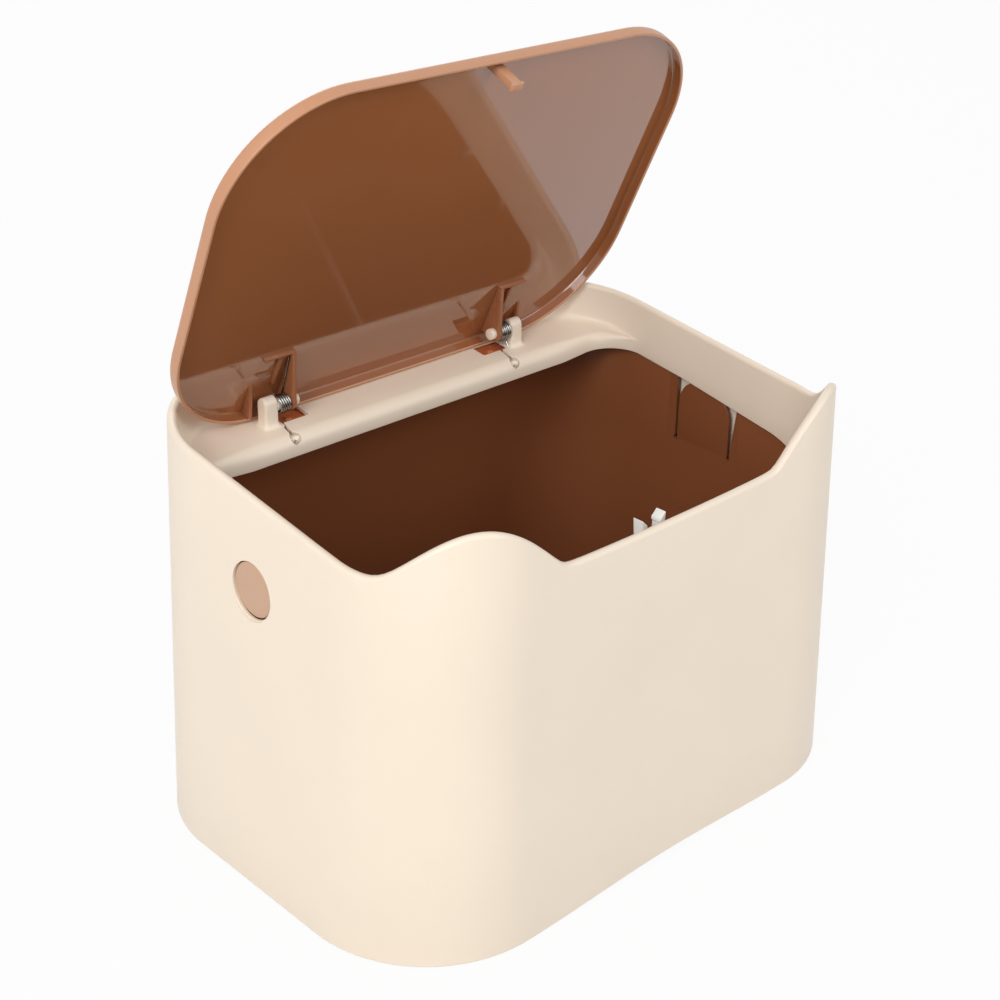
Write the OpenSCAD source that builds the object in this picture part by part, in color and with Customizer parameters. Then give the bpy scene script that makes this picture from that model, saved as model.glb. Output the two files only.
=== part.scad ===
/* [Outer shell] */
// Width across the rim
rim_w = 200; // [180:1:220]
// Depth across the rim
rim_d = 146.7; // [136:0.1:158]
// Corner radius of the rim seen from above
rim_r = 38.5; // [32:0.5:42]
// Width across the foot
foot_w = 216.4; // [204:0.1:226]
// Depth across the foot
foot_d = 153.4; // [148:0.1:164]
// Corner radius of the foot seen from above
foot_r = 46; // [38:0.5:50]
// Height of the rim half way between front and back
rim_h = 133.4; // [125:0.1:145]
// Slope of the rim in degrees, higher at the back
rim_slope = 7.87; // [5:0.01:10]
// Thickness of the rounded rim
rim_t = 3.1; // [2.6:0.1:4]
// Thickness of the outer wall below the rim
wall_t = 1.6; // [1.2:0.1:1.8]
// Height of the two ears above the rim
ear_h = 18.2; // [8:0.1:24]
// Half the length of an ear along the rim
ear_half = 29.8; // [22:0.1:34]
// Distance of the ear's peak from the middle of the corner, towards the front
ear_shift = 14.9; // [8:0.1:20]
// Softness of the hollow where an ear leaves the front rim
ear_blend = 2; // [1:0.1:4]
// Softness of the hollow where an ear leaves the side rim
ear_side_blend = 5; // [1:0.1:6]
// Rise of the front rim from its middle to the corners
front_rise = 1.1; // [0:0.1:2]
// Lift of the foot in the middle of the front and back
foot_arch = 1.9; // [0:0.1:3]
// Radius of the small rounding at the foot
foot_round = 0.6; // [0.3:0.1:0.8]

/* [Inner ring] */
// Depth of the ring below the rim
ring_drop = 18.8; // [18:0.1:22]
// Distance of the ring's inner face from the rim's outside at its lower edge
ring_set = 4.2; // [4.1:0.1:5]
// Further distance of the ring's inner face from the rim at the front
ring_front = 4; // [0:0.1:4.5]
// Radius by which the ring's front corners are wider than an even ring's
ring_front_r = 3.7; // [0:0.1:5]
// Thickness of the ring at its lower edge
ring_t = 1.1; // [1:0.1:1.2]
// Depth of the slot behind the ring for the bucket's edge
slot_h = 3.8; // [3.4:0.1:4.4]

/* [Hinge shelf] */
// Depth of the shelf's top below the rim
shelf_drop = 14; // [13:0.1:15]
// Thickness of the shelf
shelf_t = 1.7; // [1.4:0.1:2]
// Depth of the skirt's lower edge below the rim
skirt_drop = 21; // [19:0.1:23]
// Depth of the shelf from the rear rim to its front face
shelf_d = 28.7; // [26:0.1:32]
// Radius of the mouth's rear corners
mouth_r = 16.5; // [14:0.5:22]
// Rounding of the shelf's front edge
shelf_round = 4; // [2:0.1:4.5]
// Thickness of the skirt below the shelf's front edge
skirt_t = 1.5; // [1.2:0.1:2]
// Distance of the skirt's outermost point beyond the ring's inner face
mouth_over = 1; // [0.6:0.1:2]
// Length of the hole beside each hinge post
relief_w = 10.8; // [9:0.1:12]
// Depth of the hole beside each hinge post
relief_d = 7.4; // [6:0.1:8]
// Distance of the hole's front edge in front of the pin axis
relief_y = 1.6; // [0:0.1:2]
// Width of the slit from each hole to the front edge
slit_w = 0.8; // [0.5:0.1:1.2]
// Distance of the slit from the hinge post
slit_in = 2.6; // [2:0.1:6]

/* [Hinge] */
// Distance of the pin axis from the rear rim
hinge_in = 17.7; // [17:0.1:19]
// Depth of the pin axis below the rim
hinge_drop = 7.8; // [7.4:0.1:8.2]
// Angle from the closed lid to the open lid
lid_open = 72.7; // [60:0.1:73]
// Distance between the inner faces of the two posts
post_gap = 103; // [98:0.5:110]
// Width of a hinge post
post_w = 5; // [4:0.1:6]
// Depth of a hinge post
post_d = 5; // [4.4:0.1:5.2]
// Height of a post above the pin axis
post_top = 3.6; // [2.8:0.1:3.7]
// Rounding of a post's upright edges
post_r = 1; // [0.5:0.1:1.5]
// Diameter of the hinge pins
pin_d = 4.2; // [3.4:0.1:4.4]
// Length of a hinge pin from its post
pin_l = 8.5; // [8.2:0.1:10]
// Radial clearance of a pin in the lid's bore
pin_clear = 0.08; // [0.05:0.01:0.1]

/* [Lid] */
// Distance of the lid's sides inside the rim
lid_side = 4.5; // [4.3:0.1:8]
// Distance of the closed lid's free edge behind the front rim
lid_front = 6.5; // [6:0.1:9]
// Radius by which the lid's corners are wider than the rim's
lid_r_more = 1.2; // [0:0.1:3]
// Height of the lid from the flange's edge to the outer face
lid_h = 5; // [4.5:0.1:5.2]
// Thickness of the lid's plate
plate_t = 2; // [1.6:0.1:2.2]
// Thickness of the lid's flange
flange_t = 1.6; // [1.2:0.1:2]
// Rounding of the lid's outer edge
lid_round = 1.8; // [1:0.1:2.2]
// Distance of the pin axis from the lid's rear edge
lid_back = 6.6; // [6.4:0.1:7]
// Distance of the pin axis below the flange's edge
lid_drop = 1.67; // [1.4:0.01:1.9]
// Distance of a hinge rib's outer face from the post
rib_in = 5.4; // [5.3:0.1:6]
// Thickness of a hinge rib
rib_t = 1.6; // [1.3:0.1:2]
// Length of a hinge rib from the pin axis
rib_l = 17.6; // [14:0.1:20]
// Radius of a hinge rib around its bore
rib_r = 3.9; // [3.6:0.1:4.2]
// Thickness of the cross rib at the end of a hinge rib
cross_t = 1.2; // [1:0.1:1.6]
// Height of the cross rib
cross_h = 2.6; // [2:0.1:3.4]
// Length of the cross rib
cross_l = 12.6; // [10:0.1:14]
// Distance of the guide rib from the inner face of the post
guide_out = 0.3; // [0:0.1:1]
// Distance of the outer fin from the post
fin_out = 1.4; // [1:0.1:2]
// Thickness of the outer fin and the guide rib
fin_t = 1.4; // [1:0.1:1.8]
// Length of the outer fin in front of the pin axis
fin_l = 7.2; // [5:0.1:9]

/* [Hinge springs] */
// Diameter of the spring wire
wire_d = 0.55; // [0.45:0.05:0.6]
// Mean radius of the coils
coil_r = 2.7; // [2.65:0.05:2.8]
// Number of coils
coil_n = 4; // [3:1:4]
// Distance between neighbouring coils
coil_pitch = 1; // [1:0.01:1.05]
// Length of the leg under the cross rib
leg_up = 16.6; // [12:0.1:16.8]
// Distance of the lower leg's end in front of the pin axis
leg_down = 6; // [5:0.1:8]
// Gap between the lower leg and the shelf
leg_gap = 0.15; // [0.1:0.05:0.3]

/* [Inner bucket] */
// Thickness of the bucket's wall
bucket_t = 1.25; // [1:0.05:1.3]
// Gap between the bucket's upper wall and the shell
bucket_gap = 0.25; // [0.2:0.05:0.3]
// Depth of the bucket's edge below the rim
bucket_drop = 16.4; // [16:0.1:17.6]
// Distance below the tabs at which the bucket's walls start to lean in
bucket_bend_in = 7; // [2:0.5:20]
// Amount that each wall leans in down to the base
bucket_lean = 3; // [1:0.1:5]
// Rounding of the bucket's lower edge
bucket_round = 7; // [4:0.5:10]
// Thickness of the bucket's floor
floor_t = 2; // [1.6:0.1:3]

/* [Release tabs] */
// Distance of the tabs and buttons behind the middle
tab_y = 1.5; // [0:0.1:3]
// Width of a tab
tab_w = 23.4; // [20:0.1:28]
// Width of the slits beside a tab
tab_slit = 1.4; // [1:0.1:2]
// Height of a tab from its foot to the middle of its button
tab_h = 13.8; // [12.5:0.1:17]
// Gap under the tab's foot and over its top
tab_gap = 0.4; // [0.3:0.05:0.5]
// Radius of the tab's upper corners
tab_r = 8; // [4:0.1:9]
// Diameter of the round end of a slit
slit_end_d = 2.6; // [2:0.1:3]
// Diameter of the release button
button_d = 18.8; // [16:0.1:20]
// Depth of the button's middle below the rim
button_drop = 28.2; // [27.5:0.1:29.5]
// Gap around the button in the shell
button_gap = 0.6; // [0.5:0.05:0.8]
// Distance of the button's face inside the shell's surface
button_in = 0.4; // [0.2:0.1:0.8]

/* [Latch] */
// Distance of the striker from the lid's free edge
striker_in = 3.9; // [3.8:0.1:4.2]
// Length of the striker
striker_l = 11.2; // [10.8:0.1:11.4]
// Width of the striker's neck
neck_w = 3.4; // [3:0.1:3.6]
// Width of the striker's head
head_w = 5; // [4.6:0.1:5.2]
// Height of the striker's head
head_h = 1.3; // [1:0.1:1.8]
// Depth of the striker
striker_d = 3; // [2.4:0.1:3.2]
// Angle that each jaw swings while the latch moves in
jaw_swing = 5; // [4.5:0.5:5.5]
// Gap between the jaws' tops and the closed lid's plate
jaw_top_gap = 1.1; // [0.9:0.1:1.3]
// Distance of each jaw pivot from the latch's middle
jaw_x = 3.3; // [3.2:0.1:3.4]
// Height of a jaw above its pivot
jaw_h = 13; // [12.8:0.1:13.1]
// Depth of the jaws and the slider
jaw_d = 3.8; // [3.6:0.1:4]
// Gap on each side of the sliding and swinging latch pieces
slide_gap = 0.3; // [0.25:0.05:0.35]
// Radial clearance of the jaw pivots
jaw_clear = 0.06; // [0.04:0.01:0.08]
// Radius of the jaw pivots
jaw_pin_r = 0.7; // [0.6:0.05:0.8]
// Thickness of the housing's walls
housing_t = 1.2; // [1:0.1:1.4]
// Height of the housing
housing_h = 19.6; // [19:0.1:19.8]
// Height of the jaw pivots above the housing's foot
housing_low = 13.9; // [13.7:0.1:14.1]
// Half the width inside the housing
housing_in = 6; // [5.9:0.1:6.1]
// Gap between the housing and its pocket
pocket_gap = 0.25; // [0.2:0.05:0.3]
// Distance of the pocket's top below the housing's top
pocket_low = 3; // [2:0.1:4]
// Thickness of the pocket's walls
pocket_t = 1.4; // [1.2:0.1:1.6]

/* [Hidden] */
$fn = 64;

// Places that follow the rim, the hinge and the closed lid
hinge_y = rim_d / 2 - hinge_in;
hinge_z = plane_z(hinge_y) - hinge_drop;
shelf_front = rim_d / 2 - shelf_d;
button_z = rim_h - button_drop;
tab_z = button_z - tab_h;
bucket_bend = tab_z - bucket_bend_in;
lid_w = rim_w - 2 * lid_side;
lid_l = lid_back + (hinge_y + rim_d / 2 - lid_front) / cos(rim_slope);
lid_r = rim_r + lid_r_more;

cream = [0.93, 0.87, 0.79];
brown = [0.42, 0.25, 0.17];
caramel = [0.72, 0.52, 0.41];
steel = [0.62, 0.62, 0.62];
white = [0.95, 0.95, 0.94];

front_steps = 36;
corner_steps = 20;
back_steps = 8;
rim_steps = 6;
overlap = 0.4;
eps = 0.01;

// Angle of the lid above level as it stands open, and the tilt that turns it there
lid_tilt = rim_slope - lid_open;
// Height of the lid plate's inner face over the pin axis, in the lid's own frame
plate_in = lid_drop + lid_h - plate_t;
post_x = post_gap / 2;
pin_r = pin_d / 2;
rib_x = post_x - rib_in - rib_t;
tab_half = tab_w / 2;
slit_mid = tab_half + tab_slit / 2;

function mix(a, b, t) = a + (b - a) * t;
function half_w(z) = mix(foot_w, rim_w, z / rim_h) / 2;
function half_d(z) = mix(foot_d, rim_d, z / rim_h) / 2;
function corner_r(z) = mix(foot_r, rim_r, z / rim_h);

// A station is [place along x, place along y, angle of the wall's normal], places from -1 to 1
function station_xy(st, z, inset) =
    let (r = corner_r(z) - inset)
    [st[0] * (half_w(z) - inset - r) + r * cos(st[2]), st[1] * (half_d(z) - inset - r) + r * sin(st[2])];
// The ring's own outline, which stands further in at the front
function ring_xy(st, inset) =
    let (
        front = st[1] < 0,
        r = rim_r - inset + (front ? ring_front_r : 0),
        d = front ? rim_d / 2 - inset - ring_front : rim_d / 2 - inset)
    [st[0] * (rim_w / 2 - inset - r) + r * cos(st[2]), st[1] * (d - r) + r * sin(st[2])];
function at(st, z_outline, inset, z) = concat(station_xy(st, z_outline, inset), [z]);

stations = concat(
    [for (i = [0:front_steps]) [2 * i / front_steps - 1, -1, -90]],
    [for (i = [1:corner_steps]) [1, -1, 90 * i / corner_steps - 90]],
    [for (i = [0:corner_steps]) [1, 1, 90 * i / corner_steps]],
    [for (i = [1:back_steps]) [1 - 2 * i / back_steps, 1, 90]],
    [for (i = [1:corner_steps]) [-1, 1, 90 + 90 * i / corner_steps]],
    [for (i = [0:corner_steps - 1]) [-1, -1, 180 + 90 * i / corner_steps]]);

// Height of the sloping rim plane over a point that is y behind the middle
function plane_z(y) = rim_h + y * tan(rim_slope);
// Distance along the rim from the middle of the nearest front corner, growing towards the front
function along(st) =
    (1 - abs(st[0])) * (rim_w / 2 - rim_r)
    + rim_r * PI / 4
    - rim_r * acos(-sin(st[2])) * PI / 180
    - (st[1] + 1) * (rim_d / 2 - rim_r);
function ear_wave(s) = ear_h * cos(min(180, 90 * abs(s - ear_shift) / ear_half));
function ear_soft(s) = mix(ear_side_blend, ear_blend, min(1, max(0, (s - ear_shift) / (2 * ear_half) + 0.5)));
function soft_top(x, soft) = (x + sqrt(x * x + soft * soft)) / 2;
function front_lift(st) = front_rise * st[0] * st[0] * pow(max(0, -sin(st[2])), 2);
function rim_z(st) =
    plane_z(station_xy(st, rim_h, 0)[1]) + soft_top(ear_wave(along(st)), ear_soft(along(st))) + front_lift(st);
function foot_z(st) =
    foot_arch * pow(cos(90 * st[0]), 2) * (abs(sin(st[2])) == 1 ? 1 : 0);

// Outline of the wall at one station: up the outside, over the rim, down the ring and into the slot
function section(st) =
    let (
        r = rim_t / 2,
        top = rim_z(st) - r,
        low = plane_z(ring_xy(st, ring_set)[1]) - ring_drop,
        slot = low + slot_h,
        foot = foot_z(st))
    concat(
        [at(st, foot, foot_round, foot), at(st, foot + foot_round, 0, foot + foot_round)],
        [for (i = [0:rim_steps])
            let (a = 180 * i / rim_steps)
            at(st, top, r - r * cos(a), top + r * sin(a))],
        [concat(ring_xy(st, ring_set), [low]),
         concat(ring_xy(st, ring_set - ring_t), [low]),
         concat(ring_xy(st, ring_set - ring_t), [slot]),
         at(st, slot, wall_t, slot),
         at(st, foot, wall_t, foot)]);

module shell_wall() {
    rings = [for (st = stations) section(st)];
    count = len(rings);
    size = len(rings[0]);
    points = [for (ring = rings) each ring];
    faces = [for (i = [0:count - 1], j = [0:size - 1])
        let (
            a = i * size,
            b = ((i + 1) % count) * size,
            k = (j + 1) % size)
        each [[a + j, a + k, b + k], [a + j, b + k, b + j]]];
    polyhedron(points, faces, convexity = 8);
}

// Plain outlines that stay true arcs
module rounded_rect(w, d, r) {
    square([w, d - 2 * r], center = true);
    square([w - 2 * r, d], center = true);
    for (x = [-1, 1], y = [-1, 1])
        translate([x * (w / 2 - r), y * (d / 2 - r)]) circle(r);
}

// Frame of the sloping rim plane, with its origin over the middle of the bin
module on_rim_plane() {
    translate([0, 0, rim_h]) rotate([rim_slope, 0, 0]) children();
}

// The shelf's front edge in section: skirt, rounding and the start of the flat top
module nose_section(reach) {
    arc = [for (i = [0:6])
        let (a = 180 - 15 * i)
        [shelf_round + shelf_round * cos(a), -shelf_drop - shelf_round + shelf_round * sin(a)]];
    polygon(concat(
        arc,
        [[reach, -shelf_drop],
         [reach, -shelf_drop - shelf_t],
         [skirt_t, -shelf_drop - shelf_t],
         [skirt_t, -skirt_drop],
         [0, -skirt_drop]]));
}

mouth_half = rim_w / 2 - ring_set + mouth_over;
nose_reach = 9;

module shelf_outline() {
    rounded_rect(
        rim_w - 2 * (ring_set - ring_t + overlap),
        rim_d - 2 * (ring_set - ring_t + overlap),
        rim_r - (ring_set - ring_t + overlap));
}

module hinge_shelf() {
    intersection() {
        on_rim_plane() union() {
            // flat of the shelf
            translate([0, 0, -shelf_drop - shelf_t]) linear_extrude(shelf_t) difference() {
                translate([-rim_w / 2, shelf_front - mouth_r]) square([rim_w, rim_d]);
                translate([-mouth_half - nose_reach / 2, shelf_front - mouth_r - overlap])
                    square([2 * mouth_half + nose_reach, mouth_r + overlap + nose_reach / 2]);
            }
            // straight front edge
            translate([-mouth_half + mouth_r, shelf_front, 0]) rotate([90, 0, 90])
                linear_extrude(2 * (mouth_half - mouth_r)) nose_section(nose_reach);
            // rear corners of the mouth
            for (side = [0, 1]) mirror([side, 0, 0])
                translate([mouth_half - mouth_r, shelf_front - mouth_r, 0])
                    rotate_extrude(angle = 90) translate([mouth_r, 0]) nose_section(nose_reach);
        }
        linear_extrude(2 * rim_h) shelf_outline();
    }
}

module hinge_post() {
    base = plane_z(hinge_y) - shelf_drop - shelf_t / 2;
    top = hinge_z + post_top - post_d / 2;
    translate([post_x, hinge_y - post_d / 2, base]) {
        linear_extrude(top - base) translate([post_w / 2, post_d / 2]) rounded_rect(post_w, post_d, post_r);
        translate([post_w / 2, post_d / 2, top - base]) rotate([0, 90, 0])
            cylinder(h = post_w - post_r, d = post_d, center = true);
    }
    translate([post_x + post_w / 2, hinge_y, hinge_z]) rotate([0, -90, 0]) {
        cylinder(h = pin_l + post_w / 2 - pin_r / 3, r = pin_r);
        translate([0, 0, pin_l + post_w / 2 - pin_r / 3])
            cylinder(h = pin_r / 3, r1 = pin_r, r2 = pin_r * 2 / 3);
    }
}

module shelf_relief() {
    translate([0, 0, rim_h]) rotate([rim_slope, 0, 0]) {
        y = (hinge_y - relief_y) / cos(rim_slope);
        translate([post_x - overlap - relief_w, y, -ring_drop])
            cube([relief_w, relief_d, ring_drop]);
        translate([post_x - slit_in - slit_w / 2, shelf_front + shelf_round + overlap, -ring_drop])
            cube([slit_w, y - shelf_front - shelf_round, ring_drop]);
        // shallow groove over the rounded edge
        translate([post_x - slit_in - slit_w / 2, shelf_front - overlap, -shelf_drop - slit_w])
            cube([slit_w, shelf_round + 3 * overlap, ring_drop]);
    }
}

// Closed place of the striker and so of the latch
striker_y = -(lid_l - lid_back - striker_in);
latch_y = hinge_y + striker_y * cos(rim_slope) + (striker_l - plate_in) * sin(rim_slope);
jaw_z = hinge_z + striker_y * sin(rim_slope) + plate_in * cos(rim_slope) - jaw_top_gap - jaw_h;
housing_z = jaw_z - housing_low;
housing_d = jaw_d + 2 * slide_gap + 2 * housing_t;
snap_w = 3;
snap_h = 3.2;
snap_out = 0.9;
housing_w = 2 * (housing_in + housing_t);

module at_latch() {
    translate([0, latch_y, 0]) children();
}

// Room for the housing, cut out of its pocket and of the ring in front of it
module latch_room() {
    w = housing_w + 2 * pocket_gap;
    d = housing_d + 2 * pocket_gap;
    at_latch() {
        translate([-w / 2, -d / 2, housing_z]) cube([w, d, housing_h + pocket_t]);
        // drain under the housing
        translate([0, 0, housing_z - 2 * pocket_t]) cylinder(h = 3 * pocket_t, d = housing_d / 2);
        // windows for the housing's snaps
        for (side = [-1, 1])
            translate([side * (w + pocket_t) / 2, 0, housing_z + housing_h / 2])
                cube([3 * pocket_t, snap_w + 2 * pocket_gap, 2 * snap_h], center = true);
    }
}

module latch_pocket() {
    w = housing_w + 2 * (pocket_gap + pocket_t);
    d = housing_d + 2 * (pocket_gap + pocket_t);
    at_latch() translate([-w / 2, -d / 2, housing_z - pocket_t]) cube([w, d, housing_h + pocket_t - pocket_low]);
}

module button_hole() {
    translate([half_w(button_z) - 3 * wall_t, tab_y, button_z]) rotate([0, 90, 0])
        cylinder(h = 6 * wall_t, d = button_d + 2 * button_gap);
}

module outer_shell() color(cream) difference() {
    union() {
        shell_wall();
        hinge_shelf();
        latch_pocket();
        for (side = [0, 1]) mirror([side, 0, 0]) hinge_post();
    }
    latch_room();
    for (side = [0, 1]) mirror([side, 0, 0]) {
        button_hole();
        difference() {
            shelf_relief();
            // the slit and hole stop at the pin and post
            translate([post_x - pin_l - post_w, hinge_y - post_d, plane_z(hinge_y) - shelf_drop + slit_w])
                cube([pin_l + 2 * post_w, 2 * post_d, ring_drop]);
        }
    }
}

// Bucket: upper walls upright under the slot, lower walls leaning in to a rounded base
bucket_top = plane_z(rim_d / 2) - bucket_drop;
bucket_inset = wall_t + bucket_gap;
bucket_w = 2 * (min(half_w(bucket_top), half_w(bucket_bend)) - bucket_inset);
bucket_d = 2 * (min(half_d(bucket_top), half_d(bucket_bend)) - bucket_inset);
bucket_r = corner_r(bucket_top) - bucket_inset;

module tub(inset, base) {
    r = bucket_r - inset;
    low = r - bucket_lean - max(0, rim_d - foot_d, rim_w - foot_w) / 2;
    edge = bucket_round - inset;
    x = bucket_w / 2 - bucket_r;
    y = bucket_d / 2 - bucket_r;
    hull() for (sx = [-1, 1], sy = [-1, 1]) translate([sx * x, sy * y, 0])
        rotate_extrude($fn = 48) polygon(concat(
            [[0, base]],
            [for (i = [0:4])
                let (a = -90 + 22.5 * i)
                [low - edge + edge * cos(a), base + edge + edge * sin(a)]],
            [[r, bucket_bend], [r, rim_h + rim_d / 4], [0, rim_h + rim_d / 4]]));
}

// Everything above a plane that lies drop below the rim plane
module above_rim_plane(drop) {
    on_rim_plane() translate([-rim_w, -rim_d, -drop]) cube([2 * rim_w, 2 * rim_d, rim_h]);
}

// Opening in the bucket's side wall round a tab, drawn as y and z
module tab_window() {
    translate([tab_y - tab_half - tab_slit, tab_z]) square([tab_w + 2 * tab_slit, rim_h - tab_z]);
    for (side = [-1, 1]) translate([tab_y + side * slit_mid, tab_z]) circle(d = slit_end_d, $fn = 32);
}

module inner_bucket() color(brown) difference() {
    tub(0, 0);
    tub(bucket_t, floor_t);
    above_rim_plane(bucket_drop);
    for (side = [-1, 1]) translate([side * bucket_w / 2, 0, 0])
        rotate([90, 0, 90]) linear_extrude(4 * bucket_t, center = true) tab_window();
}

tab_x = bucket_w / 2 - bucket_t;

// Side view of a tab: straight sides and two wide round corners under the sloping ring
module tab_outline() {
    side_h = plane_z(tab_y - tab_half) - ring_drop - tab_r - tab_gap - tab_z;
    translate([tab_y, 0]) {
        translate([-tab_half, tab_z + tab_gap]) square([tab_w, side_h]);
        intersection() {
            translate([0, plane_z(tab_y) - ring_drop - tab_gap]) rotate(rim_slope) {
                for (side = [-1, 1]) translate([side * (tab_half - tab_r), -tab_r]) circle(tab_r);
                translate([-tab_half + tab_r, -tab_w]) square([tab_w - 2 * tab_r, tab_w]);
                translate([-tab_half, -tab_w]) square([tab_w, tab_w - tab_r]);
            }
            translate([-tab_half, tab_z + tab_gap]) square([tab_w, tab_w * 2]);
        }
    }
}

module release_tab() {
    button_face = half_w(button_z) - button_in;
    translate([tab_x, 0, 0]) rotate([90, 0, 90]) linear_extrude(bucket_t) tab_outline();
    translate([tab_x + bucket_t / 2, tab_y, button_z]) rotate([0, 90, 0])
        cylinder(h = button_face - tab_x - bucket_t / 2, d = button_d);
}

module left_release_tab() color(caramel) mirror([1, 0, 0]) release_tab();
module right_release_tab() color(caramel) release_tab();

// The lid's own frame has its origin on the pin axis, +Z out of its face and -Y to its free edge
module in_lid_frame() {
    translate([0, hinge_y, hinge_z]) rotate([lid_tilt, 0, 0]) children();
}

lid_mid = lid_back - lid_l / 2;
guide_h = 0.8 * cross_h;

module lid_pan() {
    difference() {
        hull() for (sx = [-1, 1], sy = [-1, 1])
            translate([sx * (lid_w / 2 - lid_r), lid_mid + sy * (lid_l / 2 - lid_r), lid_drop])
                rotate_extrude($fn = 64) polygon(concat(
                    [[0, 0], [lid_r, 0]],
                    [for (i = [0:3])
                        let (a = 30 * i)
                        [lid_r - lid_round + lid_round * cos(a), lid_h - lid_round + lid_round * sin(a)]],
                    [[0, lid_h]]));
        translate([0, lid_mid, lid_drop - overlap]) linear_extrude(lid_h - plate_t + overlap)
            rounded_rect(lid_w - 2 * flange_t, lid_l - 2 * flange_t, lid_r - flange_t);
    }
}

// Rib that carries the bore, its cross rib, the guide rib and the outer fin
module hinge_ribs() {
    top = plate_in + plate_t / 2;
    translate([rib_x, 0, 0]) rotate([90, 0, 90]) linear_extrude(rib_t) {
        circle(rib_r);
        polygon([[rib_r, 0], [rib_r, top], [-rib_l, top], [-rib_l, plate_in - cross_h],
            [-rib_r * cos(45), -rib_r * sin(45)], [0, 0]]);
    }
    translate([rib_x, -rib_l - cross_t / 2, plate_in - cross_h]) cube([cross_l, cross_t, cross_h + plate_t / 2]);
    translate([post_x + guide_out, -rib_l + eps, plate_in - guide_h])
        cube([fin_t, rib_l / 2, guide_h + plate_t / 2]);
    translate([post_x + post_w + fin_out, 0, 0]) rotate([90, 0, 90]) linear_extrude(fin_t)
        polygon([[lid_back - flange_t / 2, lid_drop], [lid_back - flange_t / 2, top], [-fin_l, top],
            [-fin_l, plate_in], [lid_back - 2 * flange_t, lid_drop - flange_t / 3]]);
}

module striker() {
    translate([0, striker_y, 0]) rotate([90, 0, 0])
        linear_extrude(striker_d, center = true) polygon([
            [neck_w / 2, plate_in + plate_t / 2],
            [neck_w / 2, plate_in - striker_l + head_h],
            [head_w / 2, plate_in - striker_l + head_h],
            [head_w / 2, plate_in - striker_l + head_h / 3],
            [head_w / 2 - head_h / 2, plate_in - striker_l],
            [-head_w / 2 + head_h / 2, plate_in - striker_l],
            [-head_w / 2, plate_in - striker_l + head_h / 3],
            [-head_w / 2, plate_in - striker_l + head_h],
            [-neck_w / 2, plate_in - striker_l + head_h],
            [-neck_w / 2, plate_in + plate_t / 2]]);
}

module lid() color(caramel) in_lid_frame() difference() {
    union() {
        lid_pan();
        for (side = [0, 1]) mirror([side, 0, 0]) hinge_ribs();
        striker();
    }
    for (side = [-1, 1]) translate([side * (rib_x + rib_t / 2), 0, 0]) rotate([0, 90, 0])
        cylinder(h = 2 * rib_t, r = pin_r + pin_clear, center = true);
}

// A wire swept along points that lie close together, with six sides
function unit(v) = v / norm(v);
function tangent(path, i) =
    unit(path[min(i + 1, len(path) - 1)] - path[max(i - 1, 0)]);
function wire_ring(p, t, side, r) =
    let (u = unit(side - t * (side * t)), v = cross(t, u))
    [for (k = [0:5]) p + r * (u * cos(60 * k) + v * sin(60 * k))];

module wire(path, side, r) {
    last = len(path) - 1;
    points = [for (i = [0:last]) each wire_ring(path[i], tangent(path, i), side, r)];
    faces = concat(
        [for (i = [0:last - 1], k = [0:5])
            let (a = 6 * i, n = (k + 1) % 6)
            each [[a + k, a + 6 + k, a + 6 + n], [a + k, a + 6 + n, a + n]]],
        [for (k = [1:4]) [0, k, k + 1]],
        [for (k = [1:4]) [6 * last, 6 * last + k + 1, 6 * last + k]]);
    polyhedron(points, faces, convexity = 6);
}

// Least distance between points of a path that are more than half a coil apart
function least_gap(path, skip, d) =
    min([for (i = [0:len(path) - 1], j = [0:len(path) - 1]) if (j > i + skip) norm(path[i] - path[j])]) - d;

// Torsion spring: a leg lying on the shelf, the coils, then a leg along the lid to the cross rib.
// Both leg ends are [back, up] from the pin axis
coil_steps = 8;
spring_gap = 0.25;
foot_tip = [-leg_down, plane_z(hinge_y - leg_down) - shelf_drop + wire_d / 2 + leg_gap - hinge_z];
rest_h = plate_in - wire_d / 2 - spring_gap;
lid_tip = [
    rest_h * sin(-lid_tilt) - leg_up * cos(lid_tilt),
    rest_h * cos(lid_tilt) + leg_up * sin(-lid_tilt)];
function heading(v) = atan2(v[1], v[0]);
arrive = heading(foot_tip) + acos(coil_r / norm(foot_tip));
leave = heading(lid_tip) - acos(coil_r / norm(lid_tip));
turns = coil_n + ((leave - arrive + 720) % 360) / 360;
coil_start = post_x - wire_d / 2 - spring_gap;
coil_end = coil_start - coil_pitch * turns;
coil_count = floor(turns * coil_steps);
function coil_point(k) =
    let (a = arrive + 360 * k / coil_steps)
    [coil_start - coil_pitch * k / coil_steps, hinge_y + coil_r * cos(a), hinge_z + coil_r * sin(a)];
function leg_point(x, tip, angle, t) =
    [x, hinge_y + mix(tip[0], coil_r * cos(angle), t), hinge_z + mix(tip[1], coil_r * sin(angle), t)];
hinge_path = concat(
    [for (i = [0:3]) leg_point(coil_start, foot_tip, arrive, i / 4)],
    [for (k = [0:coil_count]) coil_point(k)],
    [for (i = [4:-1:0]) leg_point(coil_end, lid_tip, leave, i / 4)]);

module hinge_spring() {
    wire(hinge_path, [1, 0, 0], wire_d / 2);
}

module left_hinge_spring() color(steel) mirror([1, 0, 0]) hinge_spring();
// Both springs have the same hand
module right_hinge_spring() color(steel)
    translate([coil_start + coil_end, 0, 0]) mirror([1, 0, 0]) hinge_spring();

echo(hinge_spring_gap = least_gap(hinge_path, coil_steps / 2 + 1, wire_d));

// Latch: housing, slider with two cheeks, two jaws, a spring and a cam wire
cheek_t = 0.8;
cheek_top = 1.2;
slider_drop = 4.8;
slider_t = 2.5;
cam_d = 0.6;
slider_half = housing_in - cam_d - slide_gap;
slider_low = jaw_z - slider_drop;
slider_floor = slider_low + slider_t;
slider_top = jaw_z + cheek_top;
inner_z = housing_z + housing_t;
groove_w = cam_d + 2 * slide_gap;

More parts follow.
